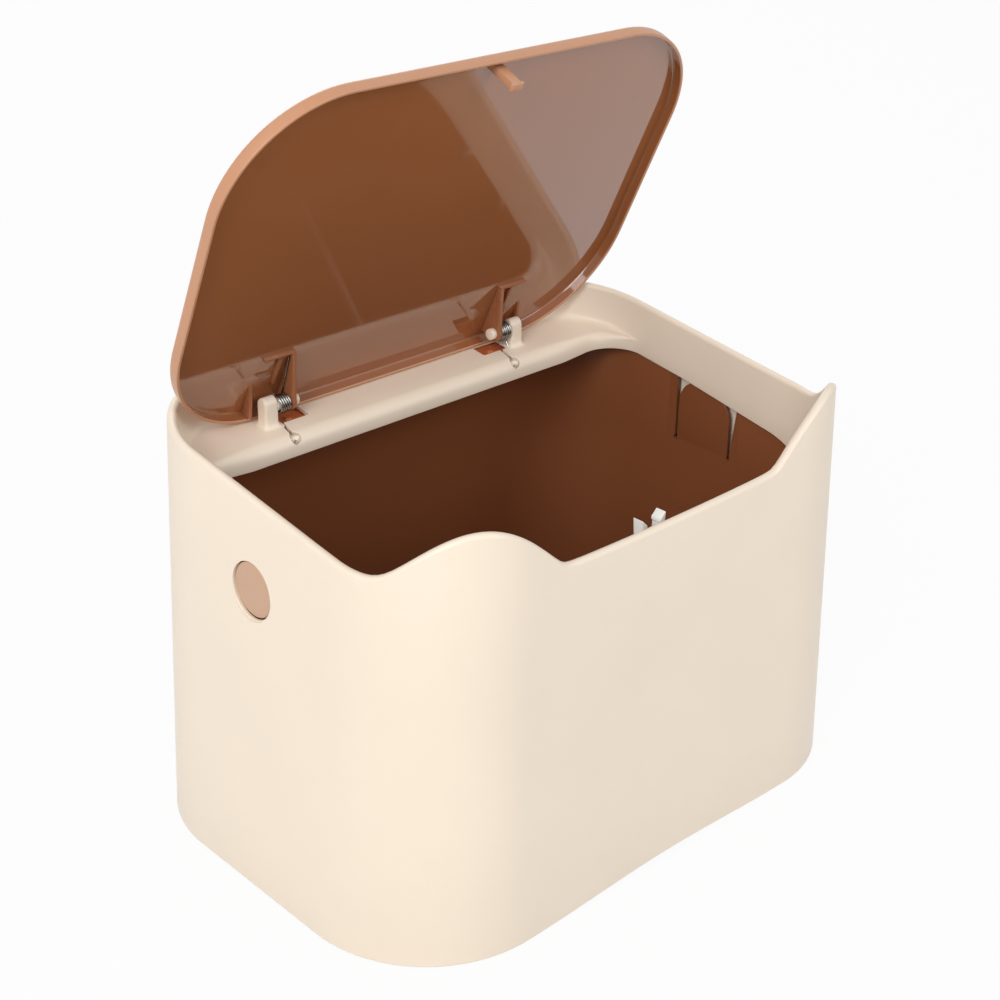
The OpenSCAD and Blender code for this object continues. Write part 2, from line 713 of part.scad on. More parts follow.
module latch_housing() color(white) at_latch() {
    difference() {
        translate([-housing_w / 2, -housing_d / 2, housing_z]) cube([housing_w, housing_d, housing_h]);
        translate([-housing_in, -housing_d / 2 + housing_t, inner_z])
            cube([2 * housing_in, housing_d - 2 * housing_t, housing_h]);
        // slot in the rear wall
        translate([-housing_t, 0, housing_z + housing_h / 2]) cube([2 * housing_t, housing_d, housing_h / 3]);
    }
    for (side = [0, 1]) mirror([side, 0, 0])
        translate([housing_w / 2 - eps, 0, housing_z + housing_h / 2]) rotate([90, 0, 0])
            linear_extrude(snap_w, center = true)
                polygon([[0, -snap_h / 2], [0, snap_h / 2], [snap_out, -snap_h / 4], [snap_out, -snap_h / 2]]);
}

module latch_slider() color(white) at_latch() difference() {
    translate([-slider_half, -jaw_d / 2, slider_low])
        cube([2 * slider_half, jaw_d, slider_top - slider_low]);
    translate([-2 * slider_half, -jaw_d / 2 + cheek_t, slider_floor])
        cube([4 * slider_half, jaw_d - 2 * cheek_t, slider_top]);
    for (side = [-1, 1]) translate([side * jaw_x, 0, jaw_z]) rotate([90, 0, 0])
        cylinder(h = 2 * jaw_d, r = jaw_pin_r + jaw_clear, center = true, $fn = 32);
    // groove for the cam wire
    translate([slider_half - groove_w, -groove_w / 2, slider_low - overlap])
        cube([2 * groove_w, groove_w, slider_top]);
}

// A jaw in its closed place, drawn round its pivot for the right-hand side
jaw_root = 1.3;
jaw_arm_out = 0.85;
jaw_arm_in = 0.75;
nose_in = 1.35;
nose_h = 1;
lead_h = jaw_arm_out + nose_in;
hook_low = 0.5;
arm_low = 2;
tip_flat = 0.3;
module jaw() {
    top = jaw_h - lead_h;
    rotate([90, 0, 0]) {
        linear_extrude(jaw_d - 2 * cheek_t - 2 * slide_gap, center = true) {
            circle(jaw_root);
            translate([-jaw_arm_in, 0]) square([jaw_arm_in + jaw_arm_out, 2 * jaw_root]);
        }
        linear_extrude(jaw_d, center = true) polygon([
            [jaw_arm_out, arm_low], [jaw_arm_out, jaw_h], [jaw_arm_out - tip_flat, jaw_h], [-nose_in, top],
            [-nose_in, top - nose_h], [-jaw_arm_in, top - nose_h - hook_low], [-jaw_arm_in, arm_low]]);
        cylinder(h = jaw_d, r = jaw_pin_r, center = true, $fn = 32);
    }
}

module latch_right_jaw() color(white) at_latch() translate([jaw_x, 0, jaw_z]) rotate([0, jaw_swing, 0]) jaw();
module latch_left_jaw() color(white) at_latch() mirror([1, 0, 0])
    translate([jaw_x, 0, jaw_z]) rotate([0, jaw_swing, 0]) jaw();

// Push spring between the housing's floor and the slider
push_d = 0.5;
push_r = 1.5;
push_n = 4;
push_gap = 0.15;
push_rise = (slider_low - inner_z - push_d - 2 * push_gap) / push_n;
push_path = [for (k = [0:push_n * coil_steps])
    let (a = 360 * k / coil_steps)
    [push_r * cos(a), latch_y + push_r * sin(a), inner_z + push_gap + push_d / 2 + push_rise * k / coil_steps]];
module latch_spring() color(steel) wire(push_path, [0, 0, 1], push_d / 2);

echo(latch_spring_gap = least_gap(push_path, coil_steps / 2 + 1, push_d));

// Cam wire: an upright leg beside the slider with its end turned into the slider's groove
cam_x = (slider_half + housing_in) / 2;
cam_top = slider_low + 1.5;
cam_reach = 0.7;
module latch_cam_wire() color(steel) at_latch() {
    translate([cam_x, 0, inner_z]) cylinder(h = cam_top - inner_z, d = cam_d, $fn = 24);
    translate([cam_x, 0, cam_top]) sphere(d = cam_d, $fn = 24);
    translate([cam_x, 0, cam_top]) rotate([0, -90, 0]) cylinder(h = cam_reach, d = cam_d, $fn = 24);
}

outer_shell();
inner_bucket();
left_release_tab();
right_release_tab();
lid();
left_hinge_spring();
right_hinge_spring();
latch_housing();
latch_slider();
latch_left_jaw();
latch_right_jaw();
latch_spring();
latch_cam_wire();
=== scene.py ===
from math import acos, atan2, cos, degrees, floor, hypot, pi, radians, sin, sqrt, tan

import bpy
from mathutils import Matrix, Vector


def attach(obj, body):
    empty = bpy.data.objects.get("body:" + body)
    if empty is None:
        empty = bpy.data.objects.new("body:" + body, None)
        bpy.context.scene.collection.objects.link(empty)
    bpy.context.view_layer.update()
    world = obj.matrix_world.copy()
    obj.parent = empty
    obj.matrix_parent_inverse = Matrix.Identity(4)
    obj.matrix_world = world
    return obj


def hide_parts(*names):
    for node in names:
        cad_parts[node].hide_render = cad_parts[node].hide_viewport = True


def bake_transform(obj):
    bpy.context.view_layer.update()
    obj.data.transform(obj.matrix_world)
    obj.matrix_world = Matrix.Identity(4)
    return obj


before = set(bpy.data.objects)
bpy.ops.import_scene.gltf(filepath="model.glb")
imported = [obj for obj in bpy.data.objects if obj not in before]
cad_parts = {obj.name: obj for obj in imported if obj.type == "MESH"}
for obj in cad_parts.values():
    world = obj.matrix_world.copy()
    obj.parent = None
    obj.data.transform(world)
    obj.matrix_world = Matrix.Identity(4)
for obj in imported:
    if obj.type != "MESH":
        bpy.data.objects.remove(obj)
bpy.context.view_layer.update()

# Sizes are in millimetres and angles in degrees until metres() places a point
MM = 0.001

# Camera, fitted to the photograph, with its clip range in metres
CAMERA_AZIMUTH = -43.442
CAMERA_ELEVATION = 26.488
CAMERA_ROLL = 0.816
CAMERA_DISTANCE = 605.178
CAMERA_TARGET_HEIGHT = 80
CAMERA_SLIDE = (2.533, -19.812)
LENS = 64.889
SENSOR_WIDTH = 36
CLIP = (0.01, 20)

# Floor, world and finishes, in metres where they are lengths
FLOOR_SIZE = 12
FLOOR_DROP = 0.0005
FLOOR_TONE = 0.7
FLOOR_ROUGHNESS = 0.8
FLOOR_WHITE = 0.94
WORLD_LIGHT = 0.46
LAMP_TARGET = (0, 0, 0.08)
COAT_ROUGHNESS = 0.05
COAT_IOR = 1.6
CLOUD = 0.03
CLOUD_SCALE = 28
GLOSS_SCALE = 70
GLOSS_SPREAD = 0.15
GRAIN_SCALE = 2600
GRAIN_DEPTH = 0.00004
WAVE_SCALE = 22
WAVE_DEPTH = 0.0004
WIRE_MARK_SCALE = 900
# Reach of the painted shade that darkens a spring where its turns lie close
TURN_GAP_SHADE_REACH = 0.0007

# Meshes: angles for smooth shading and edges, and in metres the weld of equal points
SMOOTH_ANGLE = 35
LID_SMOOTH = 40
ROUND_SMOOTH = 50
WIRE_SMOOTH = 60
EDGE_ANGLE = 25
WELD = 0.000002
AXIS_RADIUS = 0.01
CUT_OVER = 1
HALVINGS = 40

# Outer shell
RIM_WIDTH = 200
RIM_DEPTH = 146.7
RIM_CORNER = 38.5
RIM_HEIGHT = 133.4
RIM_SLOPE = 7.87
RIM_THICK = 3.1
WALL_THICK = 1.6
FOOT_WIDTH = 216.4
FOOT_DEPTH = 153.4
FOOT_CORNER = 46
FOOT_ROUND = 0.6
FOOT_ARCH = 1.9
EAR_HEIGHT = 18.2
EAR_HALF = 29.8
EAR_SHIFT = 14.9
EAR_FRONT_SOFT = 2
EAR_SIDE_SOFT = 5
FRONT_RISE = 1.1

# Inner ring and hinge shelf
RING_DROP = 18.8
RING_DROP_FRONT = 20.4
RING_SET = 4.2
RING_THICK = 1.1
RING_FRONT = 4
RING_FRONT_CORNER = 3.7
RING_BLEND = 1.2
SLOT_DROP = 15
SHELF_DROP = 14
SHELF_THICK = 1.2
SHELF_DEPTH = 28.7
SHELF_FULL = 8
SHELF_FILLET = 2.5
FILLET_SHARE = 0.35
NOSE_ROUND = 4
NOSE_SHARE = 0.5
SKIRT_DROP = 21
SKIRT_FULL = 22
SKIRT_THICK = 1.5
SKIRT_ROUND = 0.3
MOUTH_HALF = 96.8
MOUTH_CORNER = 16.5
MOUTH_BACK = RIM_DEPTH / 2 - SHELF_DEPTH
RELIEF_WIDTH = 12.3
RELIEF_DEPTH = 7.4
RELIEF_FRONT = 1.6
RELIEF_GAP = 0.4
RELIEF_CORNER = 0.8
RELIEF_CUT = 12
SLIT_WIDTH = 1.3
SLIT_SIDE = {-1: 1.7, 1: 4.3}
SLIT_SLANT = 0.2
SLIT_BACK = 0.5
SLIT_FRONT = 1
SLIT_DEPTH = 4
GROOVE_RADIUS = 2.2
GROOVE_LENGTH = 4.6
GROOVE_DEPTH = 1.9
GROOVE_LIFT = 0.9
GROOVE_TURN = 40
GROOVE_SHIFT = 0.3
BED_MARGIN = 0.8
BED_IN = 0.3
PINHOLE_RADIUS = 0.6
PINHOLE_TURN = 68
PINHOLE_FRONT = 1
PINHOLE_BACK = 2.5

# Hinge
HINGE_IN = 17.7
HINGE_DROP = 7.8
LID_OPEN = 72.7
POST_X = {-1: 52.7, 1: 51.2}
POST_WIDTH = 5.3
POST_DEPTH = 5
POST_TOP = 3.6
POST_ROUND = 1
POST_FLARE = 2
POST_SINK = 0.1
POST_SHAFT = 0.6
POST_STEP = 1.1
POST_NARROW = 0.6
PIN_RADIUS = 2.1
PIN_LENGTH = 9.3
PIN_END = 0.9
PIN_ROUND = 0.7
PIN_CROWN = 0.05
PIN_CROWN_RADIUS = 0.7
PIN_CLEAR = 0.08

# Lid, in its own frame: origin on the pin axis, +Z out of its face, -Y to its free edge
LID_SIDE = 4.5
LID_FRONT = 6.52
LID_CORNER = RIM_CORNER + 1.2
LID_BACK = 6.6
LID_LOW = 1.67
LID_HEIGHT = 5
LID_PLATE = 1.3
LID_FLANGE = 1.1
LID_ROUND = 1.8
LID_CROWN = 0.25
LID_CROWN_MIDWAY = 0.15
LID_CENTRE = 30
LIP_ROUND = 0.35
PLATE_FILLET = 0.7
PLATE_STEP = 4
RIB_IN = 5.4
RIB_THICK = 1.6
RIB_LENGTH = 17.6
RIB_RADIUS = 3.1
RIB_BED = 0.5
RIB_ROUND = 0.18
CROSS_THICK = 0.8
CROSS_HEIGHT = 1.4
CROSS_LENGTH = 12.4
CROSS_ROUND = 0.15
GUIDE_IN = 2
GUIDE_THICK = 1.3
GUIDE_LENGTH = 12.5
GUIDE_SHARE = 0.8
GUIDE_ROUND = 0.3
FIN_OUT = 1.4
FIN_THICK = 1.4
FIN_LENGTH = 7.2
FIN_BELOW = 0.5
FIN_ROUND = 0.25
STRIKER_IN = 3.9
STRIKER_LENGTH = 11.9
STRIKER_DEPTH = 2.6
STRIKER_ROUND = 0.2
NECK_WIDTH = 3.4
HEAD_WIDTH = 5
HEAD_HEIGHT = 1.3
GLOSS_LIP = 0.15
GLOSS_BELOW_PLATE = 0.2
GLOSS_CATCH = 0.1
GLOSS_RIB = 0.05

# Hinge springs
SPRING_WIRE = 0.56
COIL_RADIUS = 2.85
COIL_TURNS = 5
COIL_GAP = 0.5
COIL_LENGTH = 4.5
COIL_STEP = 12
LEG_UP = 16.6
LEG_FRONT = 1.8
LEG_SINK = 0.4
LEG_GAP = 0.2
LEG_STEPS = (6, 12)

# Sizes of the inner bucket and its release tabs
BUCKET_THICK = 1.25
BUCKET_GAP = 0.25
BUCKET_DROP = 16.4
BUCKET_LEAN = 3
BUCKET_ROUND = 7
BUCKET_FLOOR = 2
BUCKET_CENTRE = 2
BUCKET_EDGE = 0.4
BUCKET_BEND_DROP = 7
BUCKET_BEND_TALL = 4
LEDGE_GAP = 1.5
LEDGE_OUT = 3
LEDGE_FRONT = 2.5
LEDGE_TALL = 7
LEDGE_FOOT = 2
LEDGE_LIP = 1.5
LEDGE_ROUND = 0.5
# Painted light on the rear ledges: how far below the bucket's top and beyond a hinge post it reaches
LEDGE_LIGHT_TALL = 14
LEDGE_LIGHT_OUT = 6
BOSS_IN = 6.5
BOSS_BACK = 2
BOSS_SINK = 1
BOSS_HEIGHT = 1.6
BOSS_RADIUS = 1.6
BOSS_ROUND = 0.9
TAB_Y = {-1: 3.4, 1: 0.2}
TAB_WIDTH = 24.1
TAB_SLIT = 0.9
TAB_FOOT = 1
TAB_HEIGHT = 13
TAB_TOP_GAP = 0.4
TAB_SKIN = 0.01
TAB_ROUND = 0.3
TAB_REAR_CORNER = (8, 11)
TAB_FRONT_CORNER = (6.5, 7.5)
WINDOW_CORNER = 3
WINDOW_SPREAD = 2.6
WINDOW_ABOVE = 2
WINDOW_IN = 3
WINDOW_CUT = 6
SLIT_END = 2
BUTTON_WIDTH = 18.1
BUTTON_DROP = 29
BUTTON_GAP = 0.3
BUTTON_FLARE = 0.3
BUTTON_IN = 0.4
BUTTON_ROOT = 0.5
BUTTON_EDGE = 1.1
BUTTON_ROUND = 0.8
BUTTON_CROWN = ((0.2, 0.7), (0.1, 0.4))
# How far out beyond the bucket's face the button's painted light starts
BUTTON_LIGHT_OUT = 0.1
HOLE_IN = 6
HOLE_OUT = 2

# Push latch
JAW_TOP_GAP = 1.8
JAW_X = 3.3
JAW_HEIGHT = 13
JAW_DEPTH = 3.8
JAW_SWING = 5
JAW_OUT = 0.85
JAW_IN = 0.75
JAW_NOSE = 1.35
JAW_TIP = 0.3
JAW_HOOK = 1
JAW_HOOK_FOOT = 1.5
JAW_ROUND = 0.22
JAW_PIVOT = 0.7
LATCH_GAP = 0.3
HOUSING_THICK = 1.2
HOUSING_HEIGHT = 19.6
HOUSING_LOW = 13.9
HOUSING_HALF = 6
POCKET_GAP = 0.25
POCKET_THICK = 1.4
POCKET_LOW = 3
POCKET_ROUND = 0.4


def mix(a, b, t):
    return a + (b - a) * t


def metres(point):
    return Vector(point) * MM


def turns(count, step, start=0):
    """Angles in radians for the points of an arc, from steps in degrees."""
    return [radians(start + step * i) for i in range(count)]


def rim_plane(y):
    return RIM_HEIGHT + y * tan(radians(RIM_SLOPE))


def wall_half_width(z):
    return mix(FOOT_WIDTH, RIM_WIDTH, z / RIM_HEIGHT) / 2


# Places that follow the rim and the hinge
HINGE_Y = RIM_DEPTH / 2 - HINGE_IN
HINGE_Z = rim_plane(HINGE_Y) - HINGE_DROP
LID_TILT = RIM_SLOPE - LID_OPEN
LID_WIDTH = RIM_WIDTH - 2 * LID_SIDE
LID_LENGTH = LID_BACK + (HINGE_Y + RIM_DEPTH / 2 - LID_FRONT) / cos(radians(RIM_SLOPE))
LID_TOP = LID_LOW + LID_HEIGHT
PLATE_IN = LID_TOP - LID_PLATE
RIB_BASE = PLATE_IN + RIB_BED
STRIKER_Y = -(LID_LENGTH - LID_BACK - STRIKER_IN)
LATCH_Y = (HINGE_Y + STRIKER_Y * cos(radians(RIM_SLOPE))
           + (STRIKER_LENGTH - PLATE_IN) * sin(radians(RIM_SLOPE)))
JAW_Z = (HINGE_Z + STRIKER_Y * sin(radians(RIM_SLOPE)) + PLATE_IN * cos(radians(RIM_SLOPE))
         - JAW_TOP_GAP - JAW_HEIGHT)
HOUSING_Z = JAW_Z - HOUSING_LOW
BUTTON_Z = RIM_HEIGHT - BUTTON_DROP
TAB_Z = BUTTON_Z - TAB_HEIGHT
BUCKET_BEND = TAB_Z - BUCKET_BEND_DROP
BUCKET_TOP = rim_plane(RIM_DEPTH / 2) - BUCKET_DROP
BUCKET_INSET = WALL_THICK + BUCKET_GAP
BUCKET_HALF_WIDTH = wall_half_width(BUCKET_TOP) - BUCKET_INSET
BUCKET_HALF_DEPTH = mix(FOOT_DEPTH, RIM_DEPTH, BUCKET_TOP / RIM_HEIGHT) / 2 - BUCKET_INSET
BUCKET_CORNER = mix(FOOT_CORNER, RIM_CORNER, BUCKET_TOP / RIM_HEIGHT) - BUCKET_INSET
ROOM_HALF_WIDTH = HOUSING_HALF + HOUSING_THICK + POCKET_GAP
ROOM_HALF_DEPTH = JAW_DEPTH / 2 + LATCH_GAP + HOUSING_THICK + POCKET_GAP


# Camera, floor, lamps and world
def place_camera():
    azimuth = radians(CAMERA_AZIMUTH)
    elevation = radians(CAMERA_ELEVATION)
    roll = radians(CAMERA_ROLL)
    back = Vector((sin(azimuth) * cos(elevation), -cos(azimuth) * cos(elevation), sin(elevation)))
    right = (-back).cross(Vector((0, 0, 1))).normalized()
    up = right.cross(-back)
    side = right * cos(roll) + up * sin(roll)
    top = up * cos(roll) - right * sin(roll)
    place = Vector((0, 0, CAMERA_TARGET_HEIGHT)) + back * CAMERA_DISTANCE
    place = metres(place - side * CAMERA_SLIDE[0] - top * CAMERA_SLIDE[1])
    lens = bpy.data.cameras.new("photo_camera")
    lens.lens = LENS
    lens.sensor_width = SENSOR_WIDTH
    lens.sensor_fit = "HORIZONTAL"
    lens.clip_start = CLIP[0]
    lens.clip_end = CLIP[1]
    camera = bpy.data.objects.new("photo_camera", lens)
    camera.matrix_world = Matrix((
        (side.x, top.x, back.x, place.x),
        (side.y, top.y, back.y, place.y),
        (side.z, top.z, back.z, place.z),
        (0, 0, 0, 1)))
    bpy.context.collection.objects.link(camera)
    bpy.context.scene.camera = camera


def white_for_eye(nodes, links, share):
    """The share of white that the camera and reflections see."""
    rays = nodes.new("ShaderNodeLightPath")
    either = nodes.new("ShaderNodeMath")
    either.operation = "MAXIMUM"
    links.new(rays.outputs["Is Camera Ray"], either.inputs[0])
    links.new(rays.outputs["Is Glossy Ray"], either.inputs[1])
    soften = nodes.new("ShaderNodeMath")
    soften.operation = "MULTIPLY"
    soften.inputs[1].default_value = share
    links.new(either.outputs[0], soften.inputs[0])
    return soften.outputs[0]


def new_paint(name):
    paint = bpy.data.materials.new(name)
    paint.use_nodes = True
    return paint, paint.node_tree.nodes, paint.node_tree.links


def floor_paint():
    paint, nodes, links = new_paint("pale_floor")
    shader = nodes["Principled BSDF"]
    shader.inputs["Base Color"].default_value = (FLOOR_TONE, FLOOR_TONE, FLOOR_TONE, 1)
    shader.inputs["Roughness"].default_value = FLOOR_ROUGHNESS
    glow = nodes.new("ShaderNodeEmission")
    glow.inputs["Color"].default_value = (1, 1, 1, 1)
    blend = nodes.new("ShaderNodeMixShader")
    links.new(white_for_eye(nodes, links, FLOOR_WHITE), blend.inputs["Fac"])
    links.new(shader.outputs["BSDF"], blend.inputs[1])
    links.new(glow.outputs["Emission"], blend.inputs[2])
    links.new(blend.outputs["Shader"], nodes["Material Output"].inputs["Surface"])
    return paint


def pale_floor():
    deselect()
    bpy.ops.mesh.primitive_plane_add(size=FLOOR_SIZE, location=(0, 0, -FLOOR_DROP))
    ground = bpy.context.object
    ground.name = "floor"
    ground.data.materials.append(floor_paint())


def white_world():
    world = bpy.data.worlds.new("studio")
    bpy.context.scene.world = world
    world.use_nodes = True
    nodes = world.node_tree.nodes
    links = world.node_tree.links
    dim = nodes["Background"]
    dim.inputs["Color"].default_value = (1, 1, 1, 1)
    dim.inputs["Strength"].default_value = WORLD_LIGHT
    bright = nodes.new("ShaderNodeBackground")
    bright.inputs["Color"].default_value = (1, 1, 1, 1)
    bright.inputs["Strength"].default_value = 1
    blend = nodes.new("ShaderNodeMixShader")
    links.new(white_for_eye(nodes, links, 1), blend.inputs["Fac"])
    links.new(dim.outputs["Background"], blend.inputs[1])
    links.new(bright.outputs["Background"], blend.inputs[2])
    links.new(blend.outputs["Shader"], nodes["World Output"].inputs["Surface"])


def soft_lamp(name, place, width, power):
    data = bpy.data.lights.new(name, "AREA")
    data.shape = "SQUARE"
    data.size = width
    data.energy = power
    lamp = bpy.data.objects.new(name, data)
    lamp.location = place
    aim = Vector(LAMP_TARGET) - Vector(place)
    lamp.rotation_euler = aim.to_track_quat("-Z", "Y").to_euler()
    bpy.context.collection.objects.link(lamp)


# Modelling helpers
def deselect():
    bpy.ops.object.select_all(action="DESELECT")


def activate(piece):
    deselect()
    piece.select_set(True)
    bpy.context.view_layer.objects.active = piece


def smooth(piece, angle=SMOOTH_ANGLE):
    activate(piece)
    bpy.ops.object.shade_smooth_by_angle(angle=radians(angle))


def close_and_smooth(piece, angle):
    activate(piece)
    bpy.ops.object.mode_set(mode="EDIT")
    bpy.ops.mesh.select_all(action="SELECT")
    bpy.ops.mesh.remove_doubles(threshold=WELD)
    bpy.ops.mesh.fill_holes(sides=0)
    bpy.ops.mesh.select_all(action="SELECT")
    bpy.ops.mesh.normals_make_consistent(inside=False)
    bpy.ops.object.mode_set(mode="OBJECT")
    smooth(piece, angle)


def wrapped_grid(name, columns, angle=SMOOTH_ANGLE):
    """A grid bent round into a skin, with one column of points for each place along it."""
    deselect()
    rows = len(columns[0])
    bpy.ops.mesh.primitive_grid_add(x_subdivisions=rows - 1, y_subdivisions=len(columns) - 1, size=1)
    piece = bpy.context.object
    piece.name = name
    points = [point for column in columns for point in column]
    for vertex, point in zip(piece.data.vertices, points, strict=True):
        vertex.co = metres(point)
    close_and_smooth(piece, angle)
    return piece


def turned(name, side, profile, middle, sides, angle=SMOOTH_ANGLE):
    """A profile of places outwards and radii, turned round a level axis from left to right."""
    y, z = middle
    columns = [
        [(side * x, y + radius * cos(turn), z + radius * sin(turn)) for x, radius in profile]
        for turn in turns(sides + 1, 360 / sides)]
    return wrapped_grid(name, columns, angle)


def plate_from_outline(name, outline, thickness, soft=0, segments=2):
    """An outline of points filled, pulled out along a vector and softened at its edges."""
    deselect()
    bpy.ops.mesh.primitive_circle_add(vertices=len(outline), radius=1, fill_type="NGON")
    piece = bpy.context.object
    piece.name = name
    for vertex, point in zip(piece.data.vertices, outline, strict=True):
        vertex.co = metres(point)
    bpy.ops.object.mode_set(mode="EDIT")
    bpy.ops.mesh.select_all(action="SELECT")
    bpy.ops.mesh.extrude_region_move(TRANSFORM_OT_translate={"value": metres(thickness)})
    bpy.ops.mesh.select_all(action="SELECT")
    bpy.ops.mesh.normals_make_consistent(inside=False)
    bpy.ops.object.mode_set(mode="OBJECT")
    if soft:
        soften_edges(piece, soft, segments)
    smooth(piece)
    return piece


def block(name, low, high, soft=0, segments=2):
    deselect()
    low = Vector(low)
    high = Vector(high)
    bpy.ops.mesh.primitive_cube_add(size=1, location=metres((low + high) / 2))
    piece = bpy.context.object
    piece.name = name
    piece.scale = metres(high - low)
    bpy.ops.object.transform_apply(location=True, rotation=True, scale=True)
    if soft:
        soften_edges(piece, soft, segments)
    smooth(piece)
    return piece


def soften_edges(piece, width, segments):
    activate(piece)
    bevel = piece.modifiers.new("soft_edges", "BEVEL")
    bevel.limit_method = "ANGLE"
    bevel.angle_limit = radians(EDGE_ANGLE)
    bevel.width = width * MM
    bevel.segments = segments
    bpy.ops.object.modifier_apply(modifier=bevel.name)


def rod(name, start, end, radius, soft=0, sides=48):
    start = Vector(start)
    end = Vector(end)
    deselect()
    turn = (end - start).to_track_quat("Z", "Y").to_euler()
    bpy.ops.mesh.primitive_cylinder_add(
        vertices=sides, radius=radius * MM, depth=(end - start).length * MM,
        location=metres((start + end) / 2), rotation=turn)
    piece = bpy.context.object
    piece.name = name
    bpy.ops.object.transform_apply(location=True, rotation=True, scale=True)
    if soft:
        soften_edges(piece, soft, 3)
    smooth(piece)
    return piece


def cut(piece, cutters):
    for cutter in cutters:
        activate(piece)
        boolean = piece.modifiers.new("cut", "BOOLEAN")
        boolean.operation = "DIFFERENCE"
        boolean.solver = "EXACT"
        boolean.object = cutter
        bpy.ops.object.modifier_apply(modifier=boolean.name)
        bpy.data.objects.remove(cutter)
    smooth(piece)


def join(piece, others):
    deselect()
    for other in others:
        other.select_set(True)
    piece.select_set(True)
    bpy.context.view_layer.objects.active = piece
    bpy.ops.object.join()
    smooth(piece)


def stand_open(piece):
    """Turns a piece drawn in the lid's own frame to where the open lid stands."""
    hinge = Matrix.Translation(metres((0, HINGE_Y, HINGE_Z)))
    piece.data.transform(hinge @ Matrix.Rotation(radians(LID_TILT), 4, "X"))


# Outlines seen from above: a place is [share along x, share along y, angle of the normal]
def places(front, corner, side, back, rear_corner):
    found = [(2 * i / front - 1, -1, -90) for i in range(front + 1)]
    found += [(1, -1, 90 * i / corner - 90) for i in range(1, corner + 1)]
    found += [(1, 2 * i / side - 1, 0) for i in range(1, side + 1)]
    found += [(1, 1, 90 * i / rear_corner) for i in range(1, rear_corner + 1)]
    found += [(1 - 2 * i / back, 1, 90) for i in range(1, back + 1)]
    found += [(-1, 1, 90 + 90 * i / rear_corner) for i in range(1, rear_corner + 1)]
    found += [(-1, 1 - 2 * i / side, 180) for i in range(1, side + 1)]
    found += [(-1, -1, 180 + 90 * i / corner) for i in range(1, corner)]
    return found + [found[0]]


def rounded_outline(place, half_width, half_depth, radius):
    u, v, angle = place
    return (
        u * (half_width - radius) + radius * cos(radians(angle)),
        v * (half_depth - radius) + radius * sin(radians(angle)))


def wall_outline(place, height, inset):
    share = height / RIM_HEIGHT
    return rounded_outline(
        place,
        mix(FOOT_WIDTH, RIM_WIDTH, share) / 2 - inset,
        mix(FOOT_DEPTH, RIM_DEPTH, share) / 2 - inset,
        mix(FOOT_CORNER, RIM_CORNER, share) - inset)


def ring_outline(place, inset):
    u, v, angle = place
    back_radius = RIM_CORNER - inset
    front_radius = back_radius + RING_FRONT_CORNER
    front = -(RIM_DEPTH / 2 - inset - RING_FRONT - front_radius)
    back = RIM_DEPTH / 2 - inset - back_radius
    share = (v + 1) / 2
    radius = mix(front_radius, back_radius, share)
    return (
        u * (RIM_WIDTH / 2 - inset - radius) + radius * cos(radians(angle)),
        mix(front, back, share) + radius * sin(radians(angle)))


def along_rim(place):
    """Distance along the rim from the middle of a front corner, towards the front."""
    u, v, angle = place
    return (
        (1 - abs(u)) * (RIM_WIDTH / 2 - RIM_CORNER) + RIM_CORNER * pi / 4
        - RIM_CORNER * acos(-sin(radians(angle))) - (v + 1) * (RIM_DEPTH / 2 - RIM_CORNER))


def rim_top(place):
    u, _, angle = place
    s = along_rim(place)
    wave = EAR_HEIGHT * cos(radians(min(180, 90 * abs(s - EAR_SHIFT) / EAR_HALF)))
    soft = mix(EAR_SIDE_SOFT, EAR_FRONT_SOFT, min(1, max(0, (s - EAR_SHIFT) / (2 * EAR_HALF) + 0.5)))
    lift = FRONT_RISE * u * u * max(0, -sin(radians(angle))) ** 2
    y = wall_outline(place, RIM_HEIGHT, 0)[1]
    return rim_plane(y) + (wave + sqrt(wave * wave + soft * soft)) / 2 + lift


def foot_lift(place):
    u, _, angle = place
    return FOOT_ARCH * cos(radians(90 * u)) ** 2 if abs(angle) == 90 else 0


def beyond_mouth(x, y):
    out = max(0, abs(x) - MOUTH_HALF + MOUTH_CORNER)
    back = max(0, y - MOUTH_BACK + MOUTH_CORNER)
    return hypot(out, back) - MOUTH_CORNER


def shelf_reach(start, inward):
    """Distance from the ring's face to the shelf's front edge, nothing where the mouth meets the ring."""
    if beyond_mouth(*start) <= 0:
        return 0
    near = 0
    far = RIM_DEPTH / 2
    for _ in range(HALVINGS):
        middle = (near + far) / 2
        if beyond_mouth(start[0] + inward[0] * middle, start[1] + inward[1] * middle) > 0:
            near = middle
        else:
            far = middle
    return near


